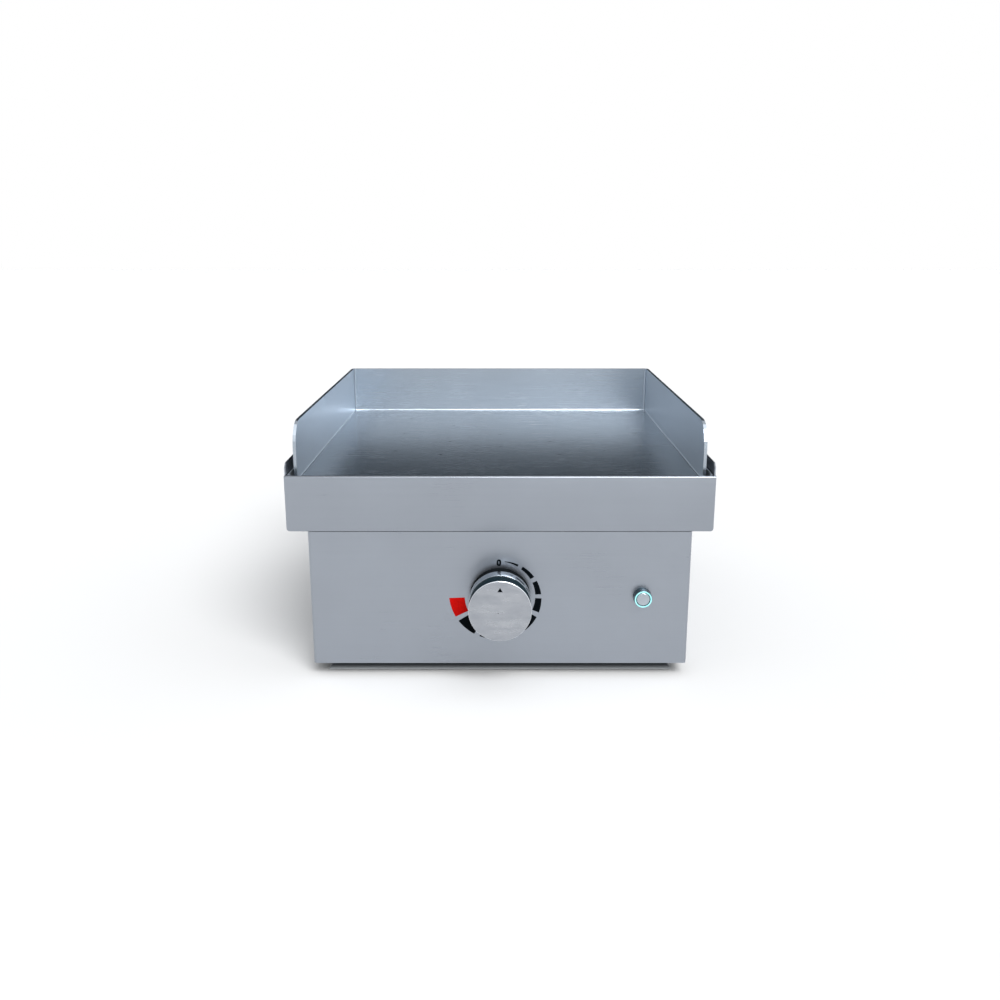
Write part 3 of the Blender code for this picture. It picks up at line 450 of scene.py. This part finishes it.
# Finishes that differ from the rest of their slot, or that have none.
OWN_FINISHES = {
    "base_plinth": plinth_sheet("plinth_sheet"),
    # Painted light: the tray pan's steel is a lighter copy of the satin stainless, so that it shows pale at
    # the tray's corners.
    "tray_pan": brushed_steel("tray_pan_lit_stainless", (0.52, 0.56, 0.60), 0.40),
}
KNOB_BASE = moulded("dull_black", (0.004, 0.005, 0.006), 0.6, ior=1.04)
BLACK_INK = printed("black_ink", (0.001, 0.002, 0.003))
RED_INK = printed("red_ink", (0.32, 0.003, 0.002))
WELD_MARK = moulded("weld_mark", (0.002, 0.003, 0.004), 0.6, spark=0.1, ior=1.04)


# ---- Tools for the fine pieces -----------------------------------------------------------------------

CORNER_STEPS = 5


def arc(centre, radius, start, end, steps):
    """Points of a circular arc, both ends included; the angles are in degrees."""
    points = []
    for step in range(steps + 1):
        angle = math.radians(start + (end - start) * step / steps)
        points.append((centre[0] + radius * math.cos(angle), centre[1] + radius * math.sin(angle)))
    return points


def circle(centre, radius, steps):
    return arc(centre, radius, 0, 360 - 360 / steps, steps - 1)


def softened(corners):
    """A closed outline of (u, v, radius) corners, with each corner rounded to its radius."""
    points = []
    for index, (u, v, radius) in enumerate(corners):
        if radius == 0:
            points.append((u, v))
            continue
        here = Vector((u, v))
        before = (Vector(corners[index - 1][:2]) - here).normalized()
        after = (Vector(corners[(index + 1) % len(corners)][:2]) - here).normalized()
        half_angle = before.angle(after) / 2
        reach = radius / math.tan(half_angle)
        centre = here + (before + after).normalized() * (radius / math.sin(half_angle))
        first = here + before * reach - centre
        last = here + after * reach - centre
        sweep = first.angle_signed(last)
        for step in range(CORNER_STEPS + 1):
            turn = -sweep * step / CORNER_STEPS
            cos, sin = math.cos(turn), math.sin(turn)
            across = first.x * cos - first.y * sin
            along = first.x * sin + first.y * cos
            points.append((centre.x + across, centre.y + along))
    return points


def add_piece(name, bm, slot, body, stands_for=(), finish=None, sharp=30):
    """A closed piece that rides on a body, in a finish of its own or else in that of its slot."""
    bmesh.ops.recalc_face_normals(bm, faces=bm.faces)
    mesh = bpy.data.meshes.new(name)
    bm.to_mesh(mesh)
    bm.free()
    mesh.shade_smooth()
    mesh.set_sharp_from_angle(angle=math.radians(sharp))
    mesh.materials.append((finish or FINISHES[slot]).material)
    piece = bpy.data.objects.new(name, mesh)
    SCENE.collection.objects.link(piece)
    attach(piece, body)
    if stands_for:
        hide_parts(*stands_for)
    return piece


def turned_into(bm, profile, centre, steps):
    """A closed outline of (radius, y) points, turned about the line along Y through centre."""
    rings = []
    for radius, y in profile:
        ring = []
        for step in range(steps if radius > 1e-6 else 1):
            angle = 2 * math.pi * step / steps
            x = centre[0] + radius * math.cos(angle)
            z = centre[1] + radius * math.sin(angle)
            ring.append(bm.verts.new((x, y, z)))
        rings.append(ring)
    for ring, following in zip(rings, rings[1:] + rings[:1]):
        if len(ring) == len(following) == 1:
            continue
        for step in range(steps):
            after = (step + 1) % steps
            corners = []
            for source, index in ((ring, step), (ring, after), (following, after), (following, step)):
                vert = source[index % len(source)]
                if vert not in corners:
                    corners.append(vert)
            bm.faces.new(corners)


def turned_piece(name, corners, centre, slot, body, node, steps, finish=None):
    """A turned piece, with its corners rounded, in place of one CAD node."""
    bm = bmesh.new()
    turned_into(bm, softened(corners), centre, steps)
    return add_piece(name, bm, slot, body, [node], finish)


def join_loops(bm, loop, following):
    """A band of faces between two closed loops with the same number of vertices."""
    for index in range(len(loop)):
        after = (index + 1) % len(loop)
        bm.faces.new((loop[index], loop[after], following[after], following[index]))


def prism_into(bm, *outlines):
    """A solid through outlines of (x, y, z) points, closed by the first and the last of them."""
    loops = [[bm.verts.new(point) for point in outline] for outline in outlines]
    for loop, following in zip(loops, loops[1:]):
        join_loops(bm, loop, following)
    bm.faces.new(loops[0])
    bm.faces.new(loops[-1])


def upright_plate_into(bm, outline, front, back):
    """An outline of (x, z) points, made into a thin plate from y front to back."""
    prism_into(bm, *([(x, y, z) for x, z in outline] for y in (front, back)))


def level_plate_into(bm, outline, top, bottom):
    """An outline of (x, y) points, made into a thin plate from z top to bottom."""
    prism_into(bm, *([(x, y, z) for x, y in outline] for z in (top, bottom)))


def upright_ring_into(bm, outer, inner, front, back):
    """A thin plate between two outlines of (x, z) points, from y front to back."""
    sides = ((outer, front), (inner, front), (inner, back), (outer, back))
    loops = [[bm.verts.new((x, y, z)) for x, z in line] for line, y in sides]
    for loop, following in zip(loops, loops[1:] + loops[:1]):
        join_loops(bm, loop, following)


# ---- Printed dial ------------------------------------------------------------------------------------

INK = 0.05 * MM
DIAL_INNER = 34.5 * MM
DIAL_START_WIDTH = 1.3 * MM
DIAL_GROWTH_PER_DEGREE = 0.052 * MM
DIAL_TAPER = 1.5 * MM
DIAL_TAPER_END = 38
SEGMENT_STEPS = 12
BLACK_SEGMENTS = [(7, 29), (36, 59), (66, 87), (93, 114), (121, 145), (151, 175), (181, 206), (213, 238)]
RED_SEGMENT = (244, 268)
ZERO_X = KNOB.x - 1.1 * MM
ZERO_Z = KNOB.z + 34.6 * MM
ZERO_HALF_WIDTH = 2.25 * MM
ZERO_HALF_HEIGHT = 3.35 * MM
ZERO_STROKE = 1.8 * MM
ZERO_SQUARENESS = 0.75
ZERO_STEPS = 32


def dial_segment(start, end):
    """A band that widens clockwise, from start to end in degrees from the top; the first one starts thin."""
    inner = []
    outer = []
    for step in range(SEGMENT_STEPS + 1):
        angle = start + (end - start) * step / SEGMENT_STEPS
        sine = math.sin(math.radians(angle))
        cosine = math.cos(math.radians(angle))
        radius = DIAL_INNER + DIAL_START_WIDTH + DIAL_GROWTH_PER_DEGREE * angle
        outer.append((KNOB.x + radius * sine, KNOB.z + radius * cosine))
        radius = DIAL_INNER + DIAL_TAPER * max(0, 1 - angle / DIAL_TAPER_END)
        inner.append((KNOB.x + radius * sine, KNOB.z + radius * cosine))
    return outer + inner[::-1]


def zero_outline(inset):
    """An upright oval with nearly straight sides, drawn in by inset."""
    half_width = ZERO_HALF_WIDTH - inset
    half_height = ZERO_HALF_HEIGHT - inset
    points = []
    for step in range(ZERO_STEPS):
        angle = 2 * math.pi * step / ZERO_STEPS
        cosine, sine = math.cos(angle), math.sin(angle)
        x = half_width * math.copysign(abs(cosine) ** ZERO_SQUARENESS, cosine)
        z = half_height * math.copysign(abs(sine) ** ZERO_SQUARENESS, sine)
        points.append((ZERO_X + x, ZERO_Z + z))
    return points


def make_dial():
    """The dial's print on the panel: black segments with a numeral 0 at the top, and a red one at the end."""
    front = PANEL_Y - INK
    back = PANEL_Y + INK
    bm = bmesh.new()
    for start, end in BLACK_SEGMENTS:
        upright_plate_into(bm, dial_segment(start, end), front, back)
    upright_ring_into(bm, zero_outline(0), zero_outline(ZERO_STROKE), front, back)
    add_piece("dial_black_print", bm, None, "griddle", finish=BLACK_INK)
    bm = bmesh.new()
    upright_plate_into(bm, dial_segment(*RED_SEGMENT), front, back)
    add_piece("dial_red_print", bm, None, "griddle", finish=RED_INK)


# ---- Knob --------------------------------------------------------------------------------------------

KNOB_CENTRE = (KNOB.x, KNOB.z)
KNOB_BORE = 12 * MM
RING_STEPS = 128
FACE_STEPS = 160
CAP_GAP = 0.3 * MM
CAP_EDGE = 0.55 * MM
CAP_CORNER = 0.3 * MM
BOSS_RADIUS = 11 * MM
SHAFT_BORE = 3.3 * MM
SHAFT_BORE_DEPTH = 15 * MM


def make_knob():
    make_knob_ring("knob_base", "knob_base_ring", "black_moulding", 0.4 * MM, 0.4 * MM, KNOB_BASE)
    make_knob_ring("knob_chrome_skirt", "knob_skirt_ring", "knob_chrome", 0.35 * MM, 0.7 * MM)
    make_index_mark()
    make_knob_ring("knob_band", "knob_grip_band", "knob_dark_band", 0.3 * MM, 0.3 * MM)
    make_knob_face()
    make_face_marks()


def make_knob_ring(name, node, slot, front_round, back_round, finish=None):
    """A plain ring of the knob's side, with its two outer edges rounded."""
    front, back, radius = turned_span(node)
    corners = [
        (KNOB_BORE, back, 0),
        (KNOB_BORE, front, 0),
        (radius, front, front_round),
        (radius, back, back_round),
    ]
    turned_piece(name, corners, KNOB_CENTRE, slot, "knob", node, RING_STEPS, finish)


def make_knob_face():
    """The cap in front of the rings, with the boss behind it that holds the thermostat's shaft."""
    front, back, radius = turned_span("knob_face_cap")
    cap_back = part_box("knob_grip_band")[0].y - CAP_GAP
    bore_front = back - SHAFT_BORE_DEPTH
    corners = [
        (0, front, 0),
        (radius, front, CAP_EDGE),
        (radius, cap_back, CAP_CORNER),
        (BOSS_RADIUS, cap_back, CAP_CORNER),
        (BOSS_RADIUS, back, CAP_CORNER),
        (SHAFT_BORE, back, 0),
        (SHAFT_BORE, bore_front, 0),
        (0, bore_front, 0),
    ]
    turned_piece("knob_face", corners, KNOB_CENTRE, "knob_face", "knob", "knob_face_cap", FACE_STEPS)


def make_index_mark():
    """A small dark triangle on top of the chrome skirt, near its front, which lines up with the dial."""
    front, back, radius = turned_span("knob_skirt_ring")
    share_from_front = 0.2
    half = 1.3 * MM
    lift = 0.05 * MM
    sink = 0.35 * MM
    y = front + (back - front) * share_from_front
    z = KNOB.z + radius
    outline = [(KNOB.x - half, y - half), (KNOB.x + half, y - half), (KNOB.x, y + half)]
    bm = bmesh.new()
    level_plate_into(bm, outline, z + lift, z - sink)
    add_piece("knob_index_mark", bm, None, "knob", finish=BLACK_INK)


def make_face_marks():
    """The pointer triangle near the top of the face, and a small dot left by the lathe near its middle."""
    face_y = turned_span("knob_face_cap")[0]
    front = face_y - 0.04 * MM
    back = face_y + 0.1 * MM
    foot_z = KNOB.z + 19.3 * MM
    half_width = 2.5 * MM
    height = 4.3 * MM
    dot_centre = (KNOB.x - 1.6 * MM, KNOB.z - 1.8 * MM)
    dot_radius = 0.38 * MM
    triangle = [(KNOB.x - half_width, foot_z), (KNOB.x + half_width, foot_z), (KNOB.x, foot_z + height)]
    bm = bmesh.new()
    upright_plate_into(bm, triangle, front, back)
    upright_plate_into(bm, circle(dot_centre, dot_radius, 16), front, back)
    add_piece("knob_face_marks", bm, None, "knob", finish=BLACK_INK)


# ---- Push button -------------------------------------------------------------------------------------

BUTTON_STEPS = 96


def button_piece(name, corners, slot, body, node):
    turned_piece(name, corners, (BUTTON.x, BUTTON.z), slot, body, node, BUTTON_STEPS)


def make_bezel():
    """A tube in front of a thin flange on the panel, and the barrel that goes through the panel."""
    front, back, radius = turned_span("button_collar")
    bore = 6.7 * MM
    barrel = 8 * MM
    tube_front = 8.6 * MM
    tube_foot = 8.7 * MM
    flange = radius - 1.2 * MM
    seat = PANEL_Y - 0.3 * MM
    foot = seat - 1.2 * MM
    flange_front = seat - 0.9 * MM
    corners = [
        (bore, front, 0.2 * MM),
        (tube_front, front, 0.4 * MM),
        (tube_foot, foot, 0.3 * MM),
        (flange, flange_front, 0.3 * MM),
        (flange, seat, 0.1 * MM),
        (barrel, seat, 0),
        (barrel, back, 0.4 * MM),
        (bore, back, 0),
    ]
    button_piece("button_bezel", corners, "button_bezel", "griddle", "button_collar")


def make_glow_ring():
    """The lit ring between the bezel and the plunger."""
    front, back, radius = turned_span("button_light_ring")
    inner = 7.0 * MM
    outer = radius - 0.3 * MM
    corners = [
        (inner, front, 0.12 * MM),
        (outer, front, 0.25 * MM),
        (outer, back, 0),
        (inner, back, 0),
    ]
    button_piece("button_glow_ring", corners, "button_light", "griddle", "button_light_ring")


def make_plunger():
    """The cap that is pressed, slightly dished in front, and its stem."""
    front, back, _ = turned_span("button_cap")
    head = 6.4 * MM
    head_depth = 6.6 * MM
    stem = 2.5 * MM
    dish = 4.2 * MM
    rim = 0.5 * MM
    corners = [
        (0, front + 0.25 * MM, 0),
        (dish, front + 0.12 * MM, 1.5 * MM),
        (head - rim, front, 0.3 * MM),
        (head, front + 0.4 * MM, 0.3 * MM),
        (head, front + head_depth, 0.2 * MM),
        (stem, front + head_depth, 0),
        (stem, back, 0.3 * MM),
        (0, back, 0),
    ]
    button_piece("button_plunger", corners, "button_steel", "power_button", "button_cap")


# ---- Tray front --------------------------------------------------------------------------------------

TRAY_SHEET = 1.2 * MM
TRAY_ROLL = 2 * MM
TRAY_ROLL_START = -114
TRAY_ROLL_END = 180
TRAY_CORNER = 3 * MM
TRAY_END_ROUND = 0.35 * MM
TRAY_EDGE = 0.3 * MM
BEVEL_SHARE = 0.3


def quarter_circle_drop(distance, radius):
    """How far a quarter circle has curved away at this distance past its start."""
    past = max(0.0, distance)
    return radius - math.sqrt(max(0.0, radius**2 - past**2))


def tray_stations():
    """Places across the tray's front, left to right, close together where its ends and corners curve."""
    ends = [TRAY_HALF - TRAY_END_ROUND * (1 - math.cos(math.radians(a))) for a in range(0, 91, 15)]
    corners = [TRAY_HALF - TRAY_CORNER * (1 - math.cos(math.radians(a))) for a in range(30, 91, 10)]
    right = sorted(set(round(x, 7) for x in ends + corners))
    return [-x for x in reversed(right)] + right


def tray_section(x):
    """The sheet's outline in (y, z) at x: round its foot, up its back and round the rolled top.

    Towards each end of the tray the foot rises round the corner, and the sheet thins over the rounded end.
    """
    low = TRAY_LOW.z + quarter_circle_drop(abs(x) - (TRAY_HALF - TRAY_CORNER), TRAY_CORNER)
    thinner = quarter_circle_drop(abs(x) - (TRAY_HALF - TRAY_END_ROUND), TRAY_END_ROUND)
    thinner = min(thinner, 0.9 * TRAY_END_ROUND)
    front = FRONT_Y + thinner
    back = FRONT_Y + TRAY_SHEET - thinner
    bead = (FRONT_Y + TRAY_ROLL, TRAY_TOP - TRAY_ROLL)
    bevel = TRAY_EDGE * BEVEL_SHARE
    foot = [
        (front, low + TRAY_EDGE),
        (front + bevel, low + bevel),
        (FRONT_Y + TRAY_EDGE, low),
        (FRONT_Y + TRAY_SHEET - TRAY_EDGE, low),
        (back - bevel, low + bevel),
        (back, low + TRAY_EDGE),
    ]
    roll_foot = [(back, bead[1] - TRAY_ROLL * 0.9)]
    return foot + roll_foot + arc(bead, TRAY_ROLL - thinner, TRAY_ROLL_START, TRAY_ROLL_END, 20)


def make_tray_front():
    """One sheet with rounded lower corners and a rolled bead along its top edge."""
    bm = bmesh.new()
    prism_into(bm, *([(x, y, z) for y, z in tray_section(x)] for x in tray_stations()))
    add_piece("tray_front_sheet", bm, "brushed_stainless", "grease_tray", ["tray_front"], sharp=40)


# ---- Screws ------------------------------------------------------------------------------------------

SHANK_RADIUS = 1.7 * MM
SHANK_LENGTH = 9 * MM
SCREW_STEPS = 40
RECESS_WIDTH_SHARE = 1.15
RECESS_DEPTH_SHARE = 0.62
RECESS_ARM_SHARE = 0.16


def cross_cutter(name, centre, face_y, size, depth):
    """A cross of this size, out of the scene, that reaches this depth into a face that points backwards."""
    bm = bmesh.new()
    reach = size / 2
    thin = size * RECESS_ARM_SHARE
    arm = [(reach, -thin), (reach, thin), (thin, thin)]
    outline = []
    for cos, sin in ((1, 0), (0, 1), (-1, 0), (0, -1)):
        outline += [(centre[0] + x * cos - z * sin, centre[1] + x * sin + z * cos) for x, z in arm]
    upright_plate_into(bm, outline, face_y - depth, face_y + 1 * MM)
    bmesh.ops.recalc_face_normals(bm, faces=bm.faces)
    mesh = bpy.data.meshes.new(name)
    bm.to_mesh(mesh)
    bm.free()
    return bpy.data.objects.new(name, mesh)


def make_screw(node):
    """A pan-head screw with a cross recess in place of the plain CAD solid; it is driven from the back."""
    low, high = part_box(node)
    centre = ((low.x + high.x) / 2, (low.z + high.z) / 2)
    radius = (high.x - low.x) / 2
    head_back = high.y
    head_front = low.y + SHANK_LENGTH
    rise = head_back - head_front
    corners = [
        (0, low.y, 0),
        (SHANK_RADIUS, low.y, 0.5 * MM),
        (SHANK_RADIUS, head_front, 0),
        (radius, head_front, 0.15 * MM),
        (radius * 0.97, head_front + rise * 0.45, rise * 0.5),
        (radius * 0.55, head_back, radius * 0.4),
        (0, head_back, 0),
    ]
    name = node + "_cross_head"
    screw = turned_piece(name, corners, centre, "zinc_fasteners", "griddle", node, SCREW_STEPS)
    size, depth = radius * RECESS_WIDTH_SHARE, rise * RECESS_DEPTH_SHARE
    cutter = cross_cutter("cut_" + node, centre, head_back, size, depth)
    cut = screw.modifiers.new("cross recess", "BOOLEAN")
    cut.object = cutter
    cut.solver = "EXACT"
    bpy.context.view_layer.update()
    graph = bpy.context.evaluated_depsgraph_get()
    finished = bpy.data.meshes.new_from_object(screw.evaluated_get(graph))
    screw.modifiers.clear()
    screw.data = finished
    bpy.data.objects.remove(cutter)


# ---- Plate marks -------------------------------------------------------------------------------------

# Millimetres out from the middle on both sides, and back from the tray's front.
MARK_PLACES = [
    (0, 176), (0, 248), (0, 357), (57, 206), (57, 303), (64, 135), (114.3, 154), (114.3, 254), (114.3, 353),
    (162.6, 135), (162.6, 255), (162.6, 375),
]
MARK_RADIUS = 1.15 * MM
MARK_PROUD = 0.02 * MM
MARK_DEPTH = 0.2 * MM
SPREADER_TO_PLATE_TOP = 3.3 * MM


def make_plate_marks():
    """Small dots in rows on the plate, where studs are welded on underneath."""
    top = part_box("heat_spreader")[1].z + SPREADER_TO_PLATE_TOP
    bm = bmesh.new()
    for across, back in MARK_PLACES:
        for side in (-1, 1) if across else (1,):
            centre = (side * across * MM, FRONT_Y + back * MM)
            level_plate_into(bm, circle(centre, MARK_RADIUS, 24), top + MARK_PROUD, top - MARK_DEPTH)
    add_piece("plate_stud_marks", bm, None, "griddle", finish=WELD_MARK)


# ---- CAD nodes that stay -----------------------------------------------------------------------------

EDGE_RADIUS = {
    "griddle_plate": 0.55 * MM,
    "upper_skirt": 0.3 * MM,
    "tray_pan": 0.3 * MM,
    "body_shell": 0.3 * MM,
    "rear_panel": 0.25 * MM,
    "power_inlet": 0.5 * MM,
    "button_nut": 0.4 * MM,
    "thermostat_body": 0.8 * MM,
    "heat_spreader": 0.6 * MM,
    "insulation_pad": 1.5 * MM,
    "top_deck": 0.2 * MM,
    "inlet_pin_live": 0.25 * MM,
    "inlet_pin_neutral": 0.25 * MM,
    "inlet_pin_earth": 0.25 * MM,
}


def finish_cad_nodes():
    """Gives each CAD node the finish of its slot or its own, and fine rounded edges to sheets and blocks."""
    slots = {part["node"]: part["material_slot"] for part in frame["record"]["subparts"]}
    for name, node in NODES.items():
        node.data.materials.clear()
        node.data.materials.append((OWN_FINISHES.get(name) or FINISHES[slots[name]]).material)
        if name not in EDGE_RADIUS:
            continue
        bevel = node.modifiers.new("rounded edges", "BEVEL")
        bevel.width = EDGE_RADIUS[name]
        bevel.segments = 3
        bevel.limit_method = "ANGLE"
        bevel.angle_limit = math.radians(40)
        bevel.use_clamp_overlap = True
        bevel.harden_normals = False


# ---- Camera, light and floor -------------------------------------------------------------------------

# Angles here are in degrees.
LENS_MM = 35.72
SENSOR_MM = 36
CAMERA_TO_TRAY = 0.9133
CAMERA_OVER_TRAY = 0.2205
CAMERA_PITCH = 14.95

# The studio's colours by height: 0 is the horizon and 1 straight up.
CEILING = [(0.87, (1.55, 1.57, 1.60)), (1.0, (1.70, 1.72, 1.75))]
LIT_WALL = [(0.0, (0.98, 1.01, 1.04)), (0.30, (1.00, 1.03, 1.06)), (0.76, (1.05, 1.08, 1.11))]
DARK_WALL = [(0.0, (0.04, 0.05, 0.06)), (0.12, (0.03, 0.04, 0.05)), (0.76, (0.04, 0.05, 0.06))]
LEFT_STRENGTH = 0.8
RIGHT_STRENGTH = 1.3

KEY_ENERGY = 4.4
KEY_WIDTH = 36
KEY_ELEVATION = 45
KEY_FROM_RIGHT = 68

FLOOR_REACH = 12
FLOOR_GREY = 0.475


def make_camera():
    """In front of the middle of the griddle and looking down on it, with its colours left as they are."""
    data = bpy.data.cameras.new("camera")
    data.lens = LENS_MM
    data.sensor_width = SENSOR_MM
    camera = bpy.data.objects.new("camera", data)
    SCENE.collection.objects.link(camera)
    camera.location = (0, FRONT_Y - CAMERA_TO_TRAY, TRAY_TOP + CAMERA_OVER_TRAY)
    camera.rotation_euler = (math.pi / 2 - math.radians(CAMERA_PITCH), 0, 0)
    SCENE.camera = camera
    SCENE.view_settings.view_transform = "Standard"


def colour_by_height(nodes, height, stops):
    ramp = nodes.add("ValToRGB")
    nodes.put(height, ramp.inputs[0])
    elements = ramp.color_ramp.elements
    elements.remove(elements[1])
    elements[0].color = (*stops[0][1], 1)
    for place, colour in stops[1:]:
        elements.new(place).color = (*colour, 1)
    return ramp.outputs["Color"]


def studio_light(nodes):
    """Bright in front, at both sides and above, and dark behind, where level steel reflects a dark band."""
    direction = nodes.add("TexCoord").outputs["Generated"]
    across = nodes.component(direction, "X")
    height = nodes.component(direction, "Z")
    backwards = nodes.component(direction, "Y")
    sideways = nodes.calculate("ABSOLUTE", across)
    in_front = nodes.span(backwards, 0, 1, 0.25, -0.35, "SMOOTHSTEP")
    at_a_side = nodes.span(sideways, 0, 1.35, 0.25, 0.65, "SMOOTHSTEP")
    lit = nodes.calculate("MAXIMUM", in_front, at_a_side)
    dark_wall = colour_by_height(nodes, height, DARK_WALL + CEILING)
    lit_wall = colour_by_height(nodes, height, LIT_WALL + CEILING)
    strength = nodes.span(across, LEFT_STRENGTH, RIGHT_STRENGTH, -1, 1)
    colour = nodes.mix(lit, dark_wall, lit_wall)
    return nodes.add("Background", {"Color": colour, "Strength": strength}).outputs[0]


def make_world():
    """The studio that lights and is reflected, while the camera itself sees plain white behind the scene."""
    world = bpy.data.worlds.new("studio")
    SCENE.world = world
    world.use_nodes = True
    world.node_tree.nodes.clear()
    nodes = Nodes(world.node_tree)
    seen = nodes.add("LightPath").outputs["Is Camera Ray"]
    backdrop = nodes.add("Background", {"Color": (1, 1, 1, 1)}).outputs[0]
    mix = nodes.add("MixShader")
    for value, socket in zip((seen, studio_light(nodes), backdrop), mix.inputs):
        nodes.put(value, socket)
    nodes.add("OutputWorld", {"Surface": mix.outputs[0]})


def make_key_light():
    """A wide soft light high in front and a little to the right, whose shadow falls back and to the left."""
    data = bpy.data.lights.new("key", "SUN")
    data.energy = KEY_ENERGY
    data.angle = math.radians(KEY_WIDTH)
    light = bpy.data.objects.new("key", data)
    elevation = math.radians(KEY_ELEVATION)
    turn = math.radians(KEY_FROM_RIGHT)
    reach = math.cos(elevation)
    towards = Vector((reach * math.cos(turn), -reach * math.sin(turn), math.sin(elevation)))
    light.rotation_euler = (-towards).to_track_quat("-Z", "Y").to_euler()
    SCENE.collection.objects.link(light)


def make_floor():
    """The white paper that the griddle stands on."""
    bm = bmesh.new()
    bmesh.ops.create_grid(bm, x_segments=1, y_segments=1, size=FLOOR_REACH)
    mesh = bpy.data.meshes.new("floor")
    bm.to_mesh(mesh)
    bm.free()
    floor = bpy.data.objects.new("floor", mesh)
    SCENE.collection.objects.link(floor)
    paper = Finish("white_paper", (FLOOR_GREY, FLOOR_GREY, FLOOR_GREY), 0.9)
    paper.set("Specular IOR Level", 0.1)
    mesh.materials.append(paper.material)


finish_cad_nodes()
make_dial()
make_knob()
make_bezel()
make_glow_ring()
make_plunger()
make_tray_front()
for screw_name in [name for name in NODES if name.startswith(("rear_screw", "inlet_screw"))]:
    make_screw(screw_name)
make_plate_marks()

make_camera()
make_world()
make_key_light()
make_floor()
